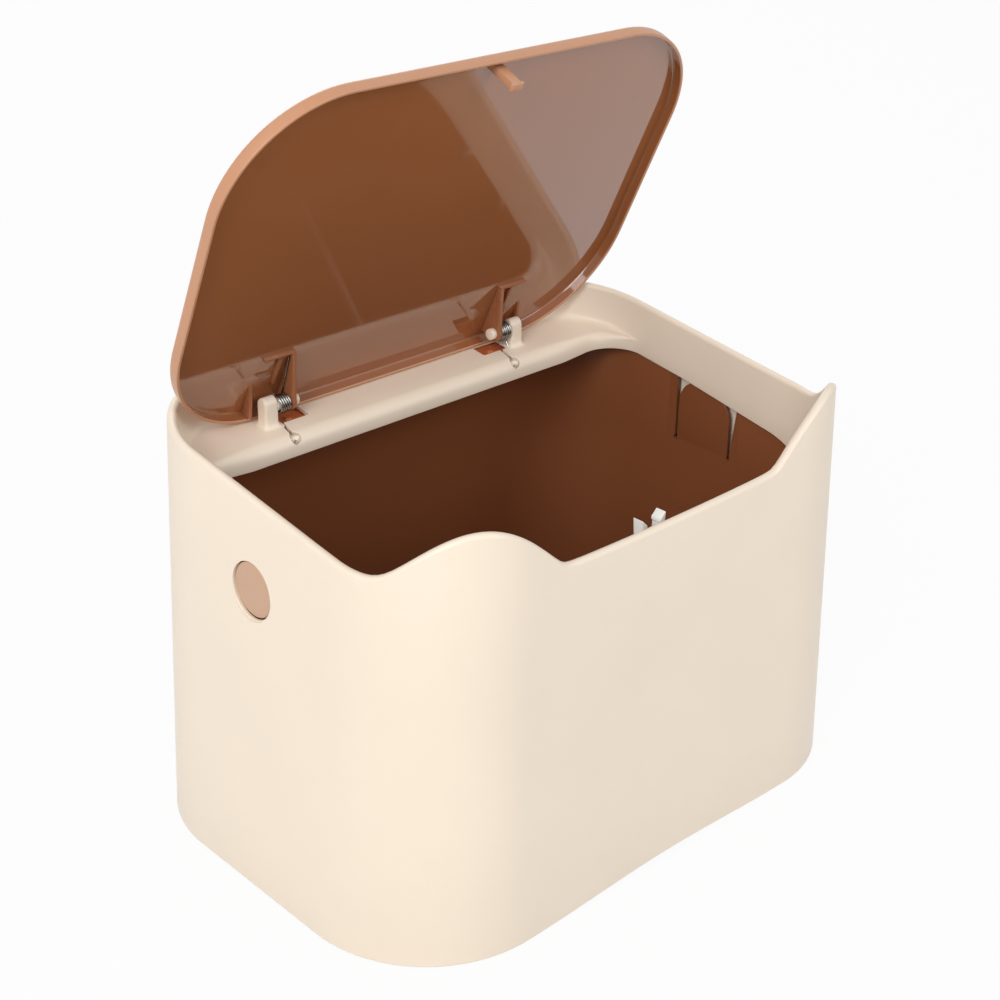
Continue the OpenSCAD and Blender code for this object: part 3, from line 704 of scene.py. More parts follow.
# Outer shell
def shell_section(place):
    """Points up the outside, over the rim, down the ring, along the shelf and back down inside."""
    angle = radians(place[2])
    inward = (-cos(angle), -sin(angle))
    foot = foot_lift(place)
    half = RIM_THICK / 2
    crest = rim_top(place) - half
    points = []

    def wall(height, inset, z=None):
        x, y = wall_outline(place, height, inset)
        points.append((x, y, height if z is None else z))

    for turn in turns(4, 30):
        wall(foot + FOOT_ROUND * (1 - cos(turn)), FOOT_ROUND * (1 - sin(turn)))
    for share in (0.25, 0.5, 0.75):
        wall(mix(foot, crest, share), 0)
    for turn in turns(13, 15):
        wall(crest, half * (1 - cos(turn)), crest + half * sin(turn))

    ring_drop = mix(RING_DROP_FRONT, RING_DROP, min(1, (place[1] + 1) / RING_BLEND))
    face_top = wall_outline(place, crest, RIM_THICK)
    face_low = ring_outline(place, RING_SET)
    top_drop = rim_plane(face_top[1]) - crest

    def face(drop):
        share = (drop - top_drop) / (ring_drop - top_drop)
        return mix(face_top[0], face_low[0], share), mix(face_top[1], face_low[1], share)

    def under_rim(base, reach, drop):
        x = base[0] + inward[0] * reach
        y = base[1] + inward[1] * reach
        points.append((x, y, rim_plane(y) - drop))

    shelf_base = face(SHELF_DROP)
    reach = shelf_reach(shelf_base, inward)
    fillet = min(SHELF_FILLET, FILLET_SHARE * reach)
    nose = min(NOSE_ROUND, NOSE_SHARE * reach)
    full = min(1, reach / SHELF_FULL)
    for turn in turns(6, 18):
        drop = SHELF_DROP - fillet * (1 - sin(turn))
        under_rim(face(drop), fillet * (1 - cos(turn)), drop)
    for share in (1 / 3, 2 / 3):
        under_rim(shelf_base, mix(fillet, reach - nose, share), SHELF_DROP)
    for turn in turns(8, 90 / 7):
        under_rim(shelf_base, reach - nose * (1 - sin(turn)), SHELF_DROP + nose * (1 - cos(turn)))

    edge_drop = mix(ring_drop, SKIRT_DROP, min(1, reach / SKIRT_FULL))
    thick = mix(RING_THICK, SKIRT_THICK, full)
    under = mix(SLOT_DROP, SHELF_DROP + SHELF_THICK, full)

    def skirt(out, drop):
        near = face(min(drop, ring_drop))
        base = (mix(near[0], shelf_base[0], full), mix(near[1], shelf_base[1], full))
        under_rim(base, reach - out, drop)

    for turn in turns(4, 30):
        skirt(SKIRT_ROUND * (1 - cos(turn)), edge_drop - SKIRT_ROUND * (1 - sin(turn)))
    for turn in turns(4, 30):
        skirt(thick - SKIRT_ROUND * (1 - sin(turn)), edge_drop - SKIRT_ROUND * (1 - cos(turn)))
    skirt(thick, under)
    slot = ring_outline(place, RING_SET - RING_THICK)
    points.append((slot[0], slot[1], rim_plane(slot[1]) - under))
    ceiling = rim_plane(wall_outline(place, RIM_HEIGHT - SLOT_DROP, WALL_THICK)[1]) - SLOT_DROP
    wall(ceiling, WALL_THICK)
    for share in (1 / 3, 2 / 3):
        wall(mix(ceiling, foot, share), WALL_THICK)
    wall(foot, WALL_THICK)
    points.append(points[0])
    return points


def rounded_box_outline(low, high, radius, z):
    """Points of a rounded rectangle from corner low to corner high, at height z."""
    corners = [
        (high[0] - radius, low[1] + radius, -90), (high[0] - radius, high[1] - radius, 0),
        (low[0] + radius, high[1] - radius, 90), (low[0] + radius, low[1] + radius, 180)]
    return [
        (x + radius * cos(turn), y + radius * sin(turn), z)
        for x, y, start in corners for turn in turns(7, 15, start)]


def relief_hole(side):
    """A cutter for the hole beside a hinge post, where the spring and the lid's rib move."""
    outer = POST_X[side] - RELIEF_GAP
    front = HINGE_Y - RELIEF_FRONT
    ends = sorted((side * (outer - RELIEF_WIDTH), side * outer))
    outline = rounded_box_outline(
        (ends[0], front), (ends[1], front + RELIEF_DEPTH), RELIEF_CORNER, rim_plane(front) - SKIRT_DROP)
    return plate_from_outline("relief_cutter", outline, (0, 0, RELIEF_CUT))


def slit_place(side, y):
    """Where the slit lies on the shelf: both slits slant a little to the left."""
    return side * (POST_X[side] - SLIT_SIDE[side]) - SLIT_SLANT * (HINGE_Y - RELIEF_FRONT - y)


def slit_cutter(side):
    rear = HINGE_Y - RELIEF_FRONT + SLIT_BACK
    front = MOUTH_BACK + NOSE_ROUND - SLIT_FRONT
    low = rim_plane(front) - SHELF_DROP - SLIT_DEPTH
    outline = [
        (slit_place(side, y) + way * SLIT_WIDTH / 2, y, low)
        for way, y in ((-1, rear), (1, rear), (1, front), (-1, front))]
    return plate_from_outline("slit_cutter", outline, (0, 0, 2 * SLIT_DEPTH))


def nose_point(side, turn):
    """A point on the shelf's rounded front edge, above the slit's line."""
    y = MOUTH_BACK + NOSE_ROUND - NOSE_ROUND * sin(turn)
    x = slit_place(side, MOUTH_BACK + NOSE_ROUND) + GROOVE_SHIFT
    return x, y, rim_plane(y) - SHELF_DROP - NOSE_ROUND * (1 - cos(turn))


def groove_cutter(side):
    """A shallow drop-shaped hollow that takes the slit's end over the shelf's rounded edge."""
    deselect()
    turn = radians(GROOVE_TURN)
    x, y, z = nose_point(side, turn)
    middle = (x, y - GROOVE_LIFT * sin(turn), z + GROOVE_LIFT * cos(turn))
    bpy.ops.mesh.primitive_uv_sphere_add(
        segments=40, ring_count=20, radius=MM, location=metres(middle),
        rotation=(turn + radians(RIM_SLOPE), 0, 0), scale=(GROOVE_RADIUS, GROOVE_LENGTH, GROOVE_DEPTH))
    cutter = bpy.context.object
    cutter.name = "groove_cutter"
    bpy.ops.object.transform_apply(location=True, rotation=True, scale=True)
    return cutter


def pinhole_cutter(side):
    """The small round hole in the groove, straight back into the shelf's edge."""
    x, y, z = nose_point(side, radians(PINHOLE_TURN))
    return rod(
        "pinhole_cutter", (x, y - PINHOLE_FRONT, z), (x, y + PINHOLE_BACK, z), PINHOLE_RADIUS, sides=24)


def groove_bed(side):
    """Thicker plastic behind the groove, so that it stays closed."""
    x = nose_point(side, radians(GROOVE_TURN))[0]
    middle_y = MOUTH_BACK + NOSE_ROUND
    middle_z = rim_plane(middle_y) - SHELF_DROP - NOSE_ROUND
    wide = GROOVE_RADIUS + BED_MARGIN
    bed = rod(
        "groove_bed", (x - wide, middle_y, middle_z), (x + wide, middle_y, middle_z), NOSE_ROUND - BED_IN)
    cut(bed, [groove_cutter(side), slit_cutter(side), pinhole_cutter(side)])
    return bed


def button_hole_cutter(side):
    """A round cutter whose mouth flares a little, so that the hole's edge is soft."""
    wall = wall_half_width(BUTTON_Z)
    radius = BUTTON_WIDTH / 2 + BUTTON_GAP
    start = wall - BUTTON_FLARE
    profile = [(wall - HOLE_IN, radius), (start, radius)]
    for turn in turns(6, 15, 15):
        profile.append((start + BUTTON_FLARE * sin(turn), radius + BUTTON_FLARE * (1 - cos(turn))))
    profile.append((wall + HOLE_OUT, radius + 3 * BUTTON_FLARE))
    return turned("button_hole_cutter", side, profile, (TAB_Y[side], BUTTON_Z), 64)


def latch_room_cutter():
    return block(
        "latch_room", (-ROOM_HALF_WIDTH, LATCH_Y - ROOM_HALF_DEPTH, HOUSING_Z),
        (ROOM_HALF_WIDTH, LATCH_Y + ROOM_HALF_DEPTH, HOUSING_Z + HOUSING_HEIGHT + CUT_OVER))


def latch_pocket():
    half_width = ROOM_HALF_WIDTH + POCKET_THICK
    half_depth = ROOM_HALF_DEPTH + POCKET_THICK
    pocket = block(
        "latch_pocket", (-half_width, LATCH_Y - half_depth, HOUSING_Z - POCKET_THICK),
        (half_width, LATCH_Y + half_depth, HOUSING_Z + HOUSING_HEIGHT - POCKET_LOW), POCKET_ROUND, 3)
    cut(pocket, [latch_room_cutter()])
    return pocket


def hinge_post(side):
    """A post that flares softly out of the shelf and ends in a round arch."""
    middle = (side * (POST_X[side] + POST_WIDTH / 2), HINGE_Y)
    crown = HINGE_Z + POST_TOP - POST_DEPTH / 2
    rows = [
        (POST_FLARE * (1 - sin(turn)), POST_FLARE * (1 - cos(turn)) - POST_SINK) for turn in turns(7, 15)]
    rows += [(0, POST_FLARE + POST_SHAFT + POST_STEP * i) for i in range(3)]
    columns = []
    for x, y, _ in rounded_box_outline(
            (-POST_WIDTH / 2, -POST_DEPTH / 2), (POST_WIDTH / 2, POST_DEPTH / 2), POST_ROUND, 0):
        length = hypot(x, y)
        column = []
        for out, rise in rows:
            px = middle[0] + x * (1 + out / length)
            py = middle[1] + y * (1 + out / length)
            column.append((px, py, rim_plane(py) - SHELF_DROP + rise))
        for turn in turns(10, 9, 9):
            narrow = POST_NARROW * (1 - cos(turn))
            column.append((
                middle[0] + x * (1 - narrow / (POST_WIDTH / 2)),
                middle[1] + y * cos(turn),
                crown + POST_DEPTH / 2 * sin(turn)))
        columns.append(column)
    columns.append(columns[0])
    return wrapped_grid("hinge_post", columns, ROUND_SMOOTH)


def hinge_pin(side):
    """A pin from its post towards the middle, with a rounded end."""
    tip = POST_X[side] - PIN_LENGTH
    start = tip + PIN_END
    profile = [(POST_X[side] + CUT_OVER, PIN_RADIUS), (start, PIN_RADIUS)]
    profile += [
        (start - PIN_ROUND * sin(turn), PIN_RADIUS - PIN_ROUND * (1 - cos(turn)))
        for turn in turns(6, 15, 15)]
    profile += [(tip + PIN_CROWN, PIN_CROWN_RADIUS), (tip, AXIS_RADIUS)]
    return turned("hinge_pin", side, profile, (HINGE_Y, HINGE_Z), 48, ROUND_SMOOTH)


def model_shell():
    columns = [
        shell_section(place) for place in places(front=56, corner=28, side=24, back=24, rear_corner=40)]
    shell = wrapped_grid("shell_moulding", columns)
    cutters = [latch_room_cutter()]
    for side in (-1, 1):
        cutters += [relief_hole(side), slit_cutter(side), button_hole_cutter(side)]
        cutters += [groove_cutter(side), pinhole_cutter(side)]
    cut(shell, cutters)
    fittings = [latch_pocket()]
    for side in (-1, 1):
        fittings += [hinge_post(side), hinge_pin(side), groove_bed(side)]
    join(shell, fittings)
    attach(shell, "root")
    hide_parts("outer_shell")
    return shell


# Inner bucket and release tabs
def bucket_section(place):
    """Points from the middle of the base, up the outside, over the edge and down to the floor."""
    points = []

    def outline(inset):
        return rounded_outline(
            place, BUCKET_HALF_WIDTH - inset, BUCKET_HALF_DEPTH - inset, BUCKET_CORNER - inset)

    def skin(inset, z):
        points.append((*outline(inset), z))

    def brim(inset, drop):
        x, y = outline(inset)
        points.append((x, y, rim_plane(y) - drop))

    skin(BUCKET_CORNER - BUCKET_CENTRE, 0)
    for turn in turns(7, 15):
        skin(BUCKET_LEAN + BUCKET_ROUND * (1 - sin(turn)), BUCKET_ROUND * (1 - cos(turn)))
    shares = (0.25, 0.5, 0.75, 0.95)
    for share in shares:
        skin(BUCKET_LEAN * (1 - share), mix(BUCKET_ROUND, BUCKET_BEND, share))
    skin(0, BUCKET_BEND + BUCKET_BEND_TALL)
    brim(0, BUCKET_DROP + BUCKET_EDGE)
    for turn in turns(5, 45):
        brim(BUCKET_THICK / 2 * (1 - cos(turn)), BUCKET_DROP + BUCKET_EDGE * (1 - sin(turn)))
    skin(BUCKET_THICK, BUCKET_BEND + BUCKET_BEND_TALL)
    for share in reversed(shares):
        skin(BUCKET_THICK + BUCKET_LEAN * (1 - share), mix(BUCKET_ROUND, BUCKET_BEND, share))
    inner = BUCKET_ROUND - BUCKET_THICK
    for turn in turns(7, 15):
        skin(BUCKET_THICK + BUCKET_LEAN + inner * (1 - cos(turn)), BUCKET_FLOOR + inner * (1 - sin(turn)))
    skin(BUCKET_CORNER - BUCKET_CENTRE, BUCKET_FLOOR)
    return points


def tab_window_cutter(side):
    """The opening round a tab: it widens upwards and its sides end in small round holes at the tab's foot."""
    half = TAB_WIDTH / 2 + TAB_SLIT
    middle = TAB_WIDTH / 2 + TAB_SLIT / 2
    x = side * (BUCKET_HALF_WIDTH - WINDOW_IN)
    depth = side * WINDOW_CUT
    rear = TAB_Y[side] + half
    front = TAB_Y[side] - half
    top = rim_plane(rear) - BUCKET_DROP
    outline = [(front, TAB_Z), (rear, TAB_Z), (rear, top - WINDOW_CORNER)]
    for turn in turns(6, 15, 15):
        outline.append((rear + WINDOW_CORNER * (1 - cos(turn)), top - WINDOW_CORNER * (1 - sin(turn))))
    above = RIM_HEIGHT + WINDOW_ABOVE
    outline += [(rear + WINDOW_CORNER, above), (front - WINDOW_SPREAD, above)]
    outline.append((front - WINDOW_SPREAD, rim_plane(front) - RING_DROP))
    cutters = [plate_from_outline("window_cutter", [(x, y, z) for y, z in outline], (depth, 0, 0))]
    for way in (-1, 1):
        y = TAB_Y[side] + way * middle
        cutters.append(rod("slit_end_cutter", (x, y, TAB_Z), (x + depth, y, TAB_Z), SLIT_END / 2))
    return cutters


def rear_ledge(side):
    """A ledge of the bucket's edge that shows through the hole beside a hinge post."""
    ends = sorted((side * (POST_X[side] - RELIEF_WIDTH - LEDGE_OUT), side * (POST_X[side] + LEDGE_OUT)))
    front = MOUTH_BACK + NOSE_ROUND + LEDGE_FRONT
    back = BUCKET_HALF_DEPTH - BUCKET_THICK / 2
    top = rim_plane(front) - SHELF_DROP - LEDGE_GAP
    low = top - LEDGE_TALL
    outline = [(front, top), (back, top + (back - front) * tan(radians(RIM_SLOPE))), (back, low),
               (back - LEDGE_FOOT, low), (front, top - LEDGE_LIP)]
    ledge = plate_from_outline(
        "rear_ledge", [(ends[0], y, z) for y, z in outline], (ends[1] - ends[0], 0, 0), LEDGE_ROUND, 3)
    x = side * (POST_X[side] - BOSS_IN)
    y = HINGE_Y + BOSS_BACK
    boss = rod(
        "ledge_boss", (x, y, top - BOSS_SINK), (x, y, top + BOSS_HEIGHT), BOSS_RADIUS, BOSS_ROUND)
    return [ledge, boss]


def model_bucket(inside_finish, ledge_lit_paint):
    columns = [
        bucket_section(place) for place in places(front=16, corner=20, side=12, back=16, rear_corner=20)]
    bucket = wrapped_grid("bucket_moulding", columns)
    cut(bucket, tab_window_cutter(-1) + tab_window_cutter(1))
    join(bucket, rear_ledge(-1) + rear_ledge(1))
    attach(bucket, "root")
    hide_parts("inner_bucket")
    cover(bucket, inside_finish, ledge_lit_paint)
    # Painted light: the rear ledges and the bucket's edge behind the shelf take a lighter, warmer copy of its
    # brown
    for face in bucket.data.polygons:
        x, y, z = face.center / MM
        behind = MOUTH_BACK + NOSE_ROUND < y < BUCKET_HALF_DEPTH - BUCKET_THICK
        near = abs(x) < POST_X[-1] + LEDGE_LIGHT_OUT and z > BUCKET_TOP - LEDGE_LIGHT_TALL
        if behind and near:
            face.material_index = 1


def tab_outline(side):
    """Side view of a tab as y and z: upright sides and tall round corners under the sloping ring."""
    half = TAB_WIDTH / 2
    points = [(TAB_Y[side] - half, TAB_Z - TAB_FOOT), (TAB_Y[side] + half, TAB_Z - TAB_FOOT)]
    for way, start, corner in ((1, 0, TAB_REAR_CORNER), (-1, 90, TAB_FRONT_CORNER)):
        wide, tall = corner
        for turn in turns(13, 7.5, start):
            y = TAB_Y[side] + way * (half - wide) + wide * cos(turn)
            top = rim_plane(y) - RING_DROP - TAB_TOP_GAP
            points.append((y, top - tall * (1 - sin(turn))))
    return points


def button(side):
    """A round button with a soft edge and a slightly crowned face."""
    crown = wall_half_width(BUTTON_Z) - BUTTON_IN
    start = crown - BUTTON_EDGE
    radius = BUTTON_WIDTH / 2
    profile = [(BUCKET_HALF_WIDTH - BUTTON_ROOT, radius), (start, radius)]
    profile += [
        (start + BUTTON_ROUND * sin(turn), radius - BUTTON_ROUND * (1 - cos(turn)))
        for turn in turns(6, 15, 15)]
    profile += [(crown - low, radius * share) for low, share in BUTTON_CROWN]
    profile.append((crown, AXIS_RADIUS))
    return turned("button", side, profile, (TAB_Y[side], BUTTON_Z), 64, ROUND_SMOOTH)


def model_tab(side, name, inside_finish, button_lit_paint):
    inner = BUCKET_HALF_WIDTH - BUCKET_THICK
    tab = plate_from_outline(
        name, [(side * (inner + TAB_SKIN), y, z) for y, z in tab_outline(side)],
        (side * (BUCKET_THICK - 2 * TAB_SKIN), 0, 0), TAB_ROUND, 3)
    join(tab, [button(side)])
    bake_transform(tab)
    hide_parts(name.replace("_piece", ""))
    cover(tab, inside_finish, button_lit_paint)
    # Painted light, partly its matte face: the button takes a lighter tan copy of the tab's brown
    for face in tab.data.polygons:
        if abs(face.center.x) > (BUCKET_HALF_WIDTH + BUTTON_LIGHT_OUT) * MM:
            face.material_index = 1


# Lid
def lid_section(place):
    """Points from the outer face over the round edge, round the flange's lip and in to the plate."""
    points = []

    def skin(inset, z):
        x, y = rounded_outline(
            place, LID_WIDTH / 2 - inset, LID_LENGTH / 2 - inset, LID_CORNER - inset)
        points.append((x, y + LID_BACK - LID_LENGTH / 2, z))

    skin(LID_CENTRE, LID_TOP + LID_CROWN)
    skin(LID_CENTRE / 2, LID_TOP + LID_CROWN_MIDWAY)
    for turn in turns(9, 11.25):
        skin(LID_ROUND * (1 - sin(turn)), LID_TOP - LID_ROUND * (1 - cos(turn)))
    for turn in turns(5, 22.5):
        skin(LIP_ROUND * (1 - cos(turn)), LID_LOW + LIP_ROUND * (1 - sin(turn)))
    for turn in turns(5, 22.5):
        skin(LID_FLANGE - LIP_ROUND * (1 - sin(turn)), LID_LOW + LIP_ROUND * (1 - cos(turn)))
    for turn in turns(5, 22.5):
        skin(LID_FLANGE + PLATE_FILLET * (1 - cos(turn)), PLATE_IN - PLATE_FILLET * (1 - sin(turn)))
    skin(LID_FLANGE + PLATE_STEP, PLATE_IN)
    skin(LID_CENTRE, PLATE_IN)
    return points


def rib_outline(x):
    """Side view of a hinge rib: a slope down to a round eye about the pin."""
    slope = [(RIB_RADIUS, RIB_BASE), (-RIB_LENGTH, RIB_BASE), (-RIB_LENGTH, PLATE_IN - CROSS_HEIGHT)]
    eye = [(RIB_RADIUS * cos(turn), RIB_RADIUS * sin(turn)) for turn in turns(16, 9, 225)]
    return [(x, y, z) for y, z in slope + eye]


def hinge_ribs(side):
    """The rib that holds the bore, its cross rib, the guide beside the spring's leg and the outer fin."""
    rib_x = POST_X[side] - RIB_IN - RIB_THICK
    rib = plate_from_outline("rib", rib_outline(side * rib_x), (side * RIB_THICK, 0, 0), RIB_ROUND)
    ends = sorted((side * rib_x, side * (rib_x + CROSS_LENGTH)))
    cross = block(
        "cross_rib", (ends[0], -RIB_LENGTH - CROSS_THICK / 2, PLATE_IN - CROSS_HEIGHT),
        (ends[1], -RIB_LENGTH + CROSS_THICK / 2, RIB_BASE), CROSS_ROUND)
    ends = sorted((side * (POST_X[side] - GUIDE_IN), side * (POST_X[side] - GUIDE_IN + GUIDE_THICK)))
    guide = block(
        "guide_rib", (ends[0], -RIB_LENGTH, PLATE_IN - GUIDE_SHARE * CROSS_HEIGHT),
        (ends[1], GUIDE_LENGTH - RIB_LENGTH, RIB_BASE), GUIDE_ROUND, 3)
    x = side * (POST_X[side] + POST_WIDTH + FIN_OUT)
    back = LID_BACK - LID_FLANGE / 2
    outline = [(back, LID_LOW), (back, RIB_BASE), (-FIN_LENGTH, RIB_BASE), (-FIN_LENGTH, PLATE_IN),
               (LID_BACK - 2 * LID_FLANGE, LID_LOW - FIN_BELOW)]
    fin = plate_from_outline("fin", [(x, y, z) for y, z in outline], (side * FIN_THICK, 0, 0), FIN_ROUND)
    bore = rod(
        "bore_cutter", (side * (rib_x - CUT_OVER), 0, 0), (side * (rib_x + RIB_THICK + CUT_OVER), 0, 0),
        PIN_RADIUS + PIN_CLEAR)
    cut(rib, [bore])
    return [rib, cross, guide, fin]


def striker():
    """The upright catch at the lid's free edge, with a wider head for the latch's jaws."""
    tip = PLATE_IN - STRIKER_LENGTH
    half = [(NECK_WIDTH / 2, RIB_BASE), (NECK_WIDTH / 2, tip + HEAD_HEIGHT),
            (HEAD_WIDTH / 2, tip + HEAD_HEIGHT), (HEAD_WIDTH / 2, tip + HEAD_HEIGHT / 3),
            (HEAD_WIDTH / 2 - HEAD_HEIGHT / 2, tip)]
    outline = half + [(-x, z) for x, z in reversed(half)]
    y = STRIKER_Y - STRIKER_DEPTH / 2
    return plate_from_outline(
        "striker", [(x, y, z) for x, z in outline], (0, STRIKER_DEPTH, 0), STRIKER_ROUND, 3)


def model_lid():
    columns = [
        lid_section(place) for place in places(front=40, corner=36, side=24, back=40, rear_corner=36)]
    lid = wrapped_grid("lid_moulding", columns, LID_SMOOTH)
    fittings = [striker()]
    for side in (-1, 1):
        fittings += hinge_ribs(side)
    join(lid, fittings)
    stand_open(lid)
    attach(lid, "lid")
    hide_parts("lid")
    return lid


# Wires
def wire_piece(name, path, radius, sides=10):
    """A round wire along points that lie close together, closed at both ends."""
    points = [Vector(point) for point in path]
    side = Vector((1, 0, 0))
    columns = []
    for i, point in enumerate(points):
        along = (points[min(i + 1, len(points) - 1)] - points[max(i - 1, 0)]).normalized()
        first = (side - along * side.dot(along)).normalized()
        second = along.cross(first)
        columns.append([
            point + radius * (first * cos(turn) + second * sin(turn))
            for turn in turns(sides + 1, 360 / sides)])
    return wrapped_grid(name, columns, WIRE_SMOOTH)


def model_hinge_spring(side, name):
    """A coil round the pin, with one leg down to the shelf's slit and one up along the lid's plate."""
    root_x = side * (POST_X[side] - COIL_GAP)
    lid_x = side * (POST_X[side] - COIL_GAP - COIL_LENGTH)
    foot = (-LEG_FRONT, rim_plane(HINGE_Y - LEG_FRONT) - SHELF_DROP - LEG_SINK - HINGE_Z)
    rest = PLATE_IN - SPRING_WIRE / 2 - LEG_GAP
    tilt = radians(-LID_TILT)
    tip = (rest * sin(tilt) - LEG_UP * cos(tilt), rest * cos(tilt) + LEG_UP * sin(tilt))
    arrive = atan2(foot[1], foot[0]) + acos(COIL_RADIUS / hypot(*foot))
    leave = atan2(tip[1], tip[0]) - acos(COIL_RADIUS / hypot(*tip))
    sweep = 2 * pi * COIL_TURNS + (leave - arrive) % (2 * pi)
    steps = floor(degrees(sweep) / COIL_STEP)

    def leg(x, end, angle, share):
        return (
            x, HINGE_Y + mix(end[0], COIL_RADIUS * cos(angle), share),
            HINGE_Z + mix(end[1], COIL_RADIUS * sin(angle), share))

    path = [leg(root_x, foot, arrive, i / LEG_STEPS[0]) for i in range(LEG_STEPS[0])]
    for i in range(steps + 1):
        angle = arrive + sweep * i / steps
        path.append((
            mix(root_x, lid_x, i / steps), HINGE_Y + COIL_RADIUS * cos(angle),
            HINGE_Z + COIL_RADIUS * sin(angle)))
    path += [leg(lid_x, tip, leave, i / LEG_STEPS[1]) for i in reversed(range(LEG_STEPS[1]))]
    spring = wire_piece(name, path, SPRING_WIRE / 2)
    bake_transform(spring)
    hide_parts(name.replace("_coil", ""))
    return spring


# Push latch
def model_jaw(side, name, body):
    """A jaw that leans outwards, with a nose over the striker's head and a round pivot at its foot."""
    top = JAW_HEIGHT - JAW_OUT - JAW_NOSE
    outline = [(JAW_OUT, 0), (JAW_OUT, JAW_HEIGHT), (JAW_OUT - JAW_TIP, JAW_HEIGHT), (-JAW_NOSE, top),
               (-JAW_NOSE, top - JAW_HOOK), (-JAW_IN, top - JAW_HOOK_FOOT), (-JAW_IN, 0)]
    swing = radians(JAW_SWING)
    front = LATCH_Y - JAW_DEPTH / 2
    points = []
    for across, up in outline:
        x = JAW_X + across * cos(swing) + up * sin(swing)
        z = JAW_Z - across * sin(swing) + up * cos(swing)
        points.append((side * x, front, z))
    jaw = plate_from_outline(name, points, (0, JAW_DEPTH, 0), JAW_ROUND, 3)
    x = side * JAW_X
    pivot = rod("pivot", (x, front, JAW_Z), (x, front + JAW_DEPTH, JAW_Z), JAW_PIVOT)
    join(jaw, [pivot])
    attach(jaw, body)
    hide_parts(name.replace("_piece", ""))
    return jaw


# Finishes, with painted shade on the springs and painted light on the rear ledges and buttons
def srgb(red, green, blue):
    def linear(value):
        value /= 255
        return value / 12.92 if value <= 0.04045 else ((value + 0.055) / 1.055) ** 2.4
    return (linear(red), linear(green), linear(blue), 1)


def noise(nodes, links, scale, detail):
    where = nodes.new("ShaderNodeTexCoord")
    node = nodes.new("ShaderNodeTexNoise")
    node.inputs["Scale"].default_value = scale
    node.inputs["Detail"].default_value = detail
    links.new(where.outputs["Object"], node.inputs["Vector"])
    return node.outputs["Fac"]


def moulded_plastic(name, colour, roughness, grain, wave=0, coat=0):
    """Moulded plastic: a faint cloud in its colour, a fine grain, uneven gloss and faint flow waves."""
    paint, nodes, links = new_paint(name)
    shader = nodes["Principled BSDF"]
    shader.inputs["Coat Weight"].default_value = coat
    shader.inputs["Coat Roughness"].default_value = COAT_ROUGHNESS
    shader.inputs["Coat IOR"].default_value = COAT_IOR

    tint = nodes.new("ShaderNodeMix")
    tint.data_type = "RGBA"
    tint.inputs["A"].default_value = [value * (1 - CLOUD) for value in colour[:3]] + [1]
    tint.inputs["B"].default_value = [min(1, value * (1 + CLOUD)) for value in colour[:3]] + [1]
    links.new(noise(nodes, links, CLOUD_SCALE, 4), tint.inputs["Factor"])
    links.new(tint.outputs["Result"], shader.inputs["Base Color"])

    gloss = nodes.new("ShaderNodeMapRange")
    gloss.inputs["To Min"].default_value = roughness * (1 - GLOSS_SPREAD)
    gloss.inputs["To Max"].default_value = roughness * (1 + GLOSS_SPREAD)
    links.new(noise(nodes, links, GLOSS_SCALE, 3), gloss.inputs["Value"])
    links.new(gloss.outputs["Result"], shader.inputs["Roughness"])

    texture = nodes.new("ShaderNodeBump")
    texture.inputs["Strength"].default_value = grain
    texture.inputs["Distance"].default_value = GRAIN_DEPTH
    links.new(noise(nodes, links, GRAIN_SCALE, 2), texture.inputs["Height"])
    last = texture
    if wave:
        flow = nodes.new("ShaderNodeBump")
        flow.inputs["Strength"].default_value = wave
        flow.inputs["Distance"].default_value = WAVE_DEPTH
        links.new(noise(nodes, links, WAVE_SCALE, 1), flow.inputs["Height"])
        links.new(texture.outputs["Normal"], flow.inputs["Normal"])
        last = flow
    links.new(last.outputs["Normal"], shader.inputs["Normal"])
    return paint


def spring_steel():
    """Drawn steel wire with fine marks, slightly uneven shine and painted shade that darkens it where its
    turns lie close.
    """
    paint, nodes, links = new_paint("drawn_wire")
    shader = nodes["Principled BSDF"]
    shader.inputs["Metallic"].default_value = 1
    marks = noise(nodes, links, WIRE_MARK_SCALE, 3)
    # Painted shade: ambient occlusion mixes in a near-black where the wire's turns lie close together
    turn_gap_shade = nodes.new("ShaderNodeAmbientOcclusion")
    turn_gap_shade.samples = 8
    turn_gap_shade.inputs["Distance"].default_value = TURN_GAP_SHADE_REACH
    depth = nodes.new("ShaderNodeMapRange")
    depth.inputs["From Min"].default_value = 0.5
    depth.inputs["From Max"].default_value = 0.9
    links.new(turn_gap_shade.outputs["AO"], depth.inputs["Value"])
    tint = nodes.new("ShaderNodeMix")
    tint.data_type = "RGBA"
    tint.inputs["A"].default_value = srgb(128, 126, 124)
    tint.inputs["B"].default_value = srgb(196, 195, 194)
    links.new(marks, tint.inputs["Factor"])
    shade = nodes.new("ShaderNodeMix")
    shade.data_type = "RGBA"
    shade.inputs["A"].default_value = srgb(30, 26, 24)
    links.new(depth.outputs["Result"], shade.inputs["Factor"])
    links.new(tint.outputs["Result"], shade.inputs["B"])
    links.new(shade.outputs["Result"], shader.inputs["Base Color"])
    gloss = nodes.new("ShaderNodeMapRange")
    gloss.inputs["To Min"].default_value = 0.1
    gloss.inputs["To Max"].default_value = 0.22
    links.new(marks, gloss.inputs["Value"])
    links.new(gloss.outputs["Result"], shader.inputs["Roughness"])
    return paint


def cover(piece, *paints):
    piece.data.materials.clear()
    for paint in paints:
        piece.data.materials.append(paint)


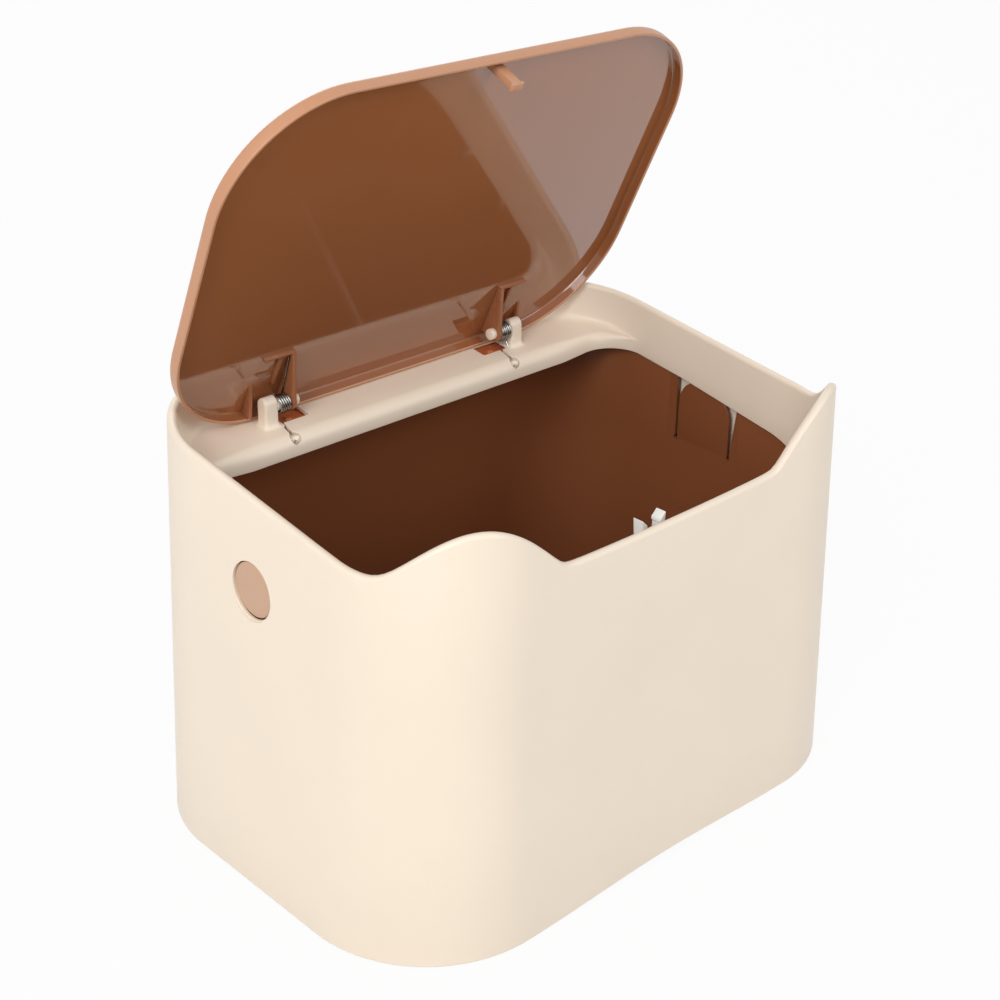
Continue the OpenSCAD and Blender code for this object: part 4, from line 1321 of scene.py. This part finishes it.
def gloss_inside(lid):
    """The plate inside the flange is polished and the ribs on it satin of their own; the striker, the outside
    and the lip are satin.
    """
    back = Matrix.Rotation(-radians(LID_TILT), 3, "X")
    hinge = metres((0, HINGE_Y, HINGE_Z))
    corner_x = LID_WIDTH / 2 - LID_CORNER
    corner_y = LID_LENGTH / 2 - LID_CORNER
    for face in lid.data.polygons:
        x, y, z = back @ (face.center - hinge) / MM
        out = max(0, abs(x) - corner_x)
        up = max(0, abs(y - LID_BACK + LID_LENGTH / 2) - corner_y)
        inset = LID_CORNER - hypot(out, up)
        wall = inset < LID_FLANGE + PLATE_FILLET and z < LID_LOW + LIP_ROUND
        catch = abs(x) < HEAD_WIDTH and abs(y - STRIKER_Y) < STRIKER_DEPTH and z < PLATE_IN - GLOSS_CATCH
        inside = inset > LID_FLANGE - GLOSS_LIP and z < PLATE_IN + GLOSS_BELOW_PLATE
        rib = inset > LID_FLANGE + PLATE_FILLET and z < PLATE_IN - GLOSS_RIB
        if inside and not wall and not catch:
            face.material_index = 2 if rib else 1


bpy.context.scene.view_settings.view_transform = "Standard"
place_camera()
pale_floor()
white_world()
soft_lamp("key_lamp", place=(-1.2, -0.45, 0.95), width=0.8, power=14.2)
soft_lamp("back_lamp", place=(0.7, 1.4, 0.9), width=0.9, power=5)
soft_lamp("fill_lamp", place=(0.5, -1.4, 0.9), width=0.9, power=7.3)

cream = moulded_plastic("cream_satin", srgb(238, 223, 204), roughness=0.4, grain=0.35)
cocoa = moulded_plastic("bucket_gloss", srgb(134, 80, 50), roughness=0.2, grain=0.1, wave=0.04)
# A lighter, warmer copy of the bucket's brown: painted light on its rear ledges
lit_cocoa = moulded_plastic("ledge_painted_light", srgb(186, 96, 48), roughness=0.25, grain=0.1, wave=0.04)
caramel = moulded_plastic("lid_satin", srgb(196, 142, 108), roughness=0.34, grain=0.2)
caramel_gloss = moulded_plastic(
    "lid_gloss", srgb(156, 97, 60), roughness=0.07, grain=0.02, wave=0.05, coat=0.75)
caramel_rib = moulded_plastic("lid_rib_satin", srgb(158, 100, 66), roughness=0.28, grain=0.1)
# A lighter tan copy of the bucket's brown for the button's lit, matte face: painted light
lit_tan_button = moulded_plastic("button_satin_painted_light", srgb(196, 158, 130), roughness=0.38, grain=0.2)
milk = moulded_plastic("latch_white", srgb(240, 240, 236), roughness=0.35, grain=0.15)
steel = spring_steel()

shell = model_shell()
cover(shell, cream)
model_bucket(cocoa, lit_cocoa)
model_tab(-1, "left_release_tab_piece", cocoa, lit_tan_button)
model_tab(1, "right_release_tab_piece", cocoa, lit_tan_button)
lid = model_lid()
cover(lid, caramel, caramel_gloss, caramel_rib)
gloss_inside(lid)
cover(model_hinge_spring(-1, "left_hinge_spring_coil"), steel)
cover(model_hinge_spring(1, "right_hinge_spring_coil"), steel)
cover(model_jaw(-1, "latch_left_jaw_piece", "left_jaw"), milk)
cover(model_jaw(1, "latch_right_jaw_piece", "right_jaw"), milk)

for name, paint in {
        "latch_housing": milk, "latch_slider": milk, "latch_spring": steel, "latch_cam_wire": steel}.items():
    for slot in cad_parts[name].material_slots:
        slot.material = paint
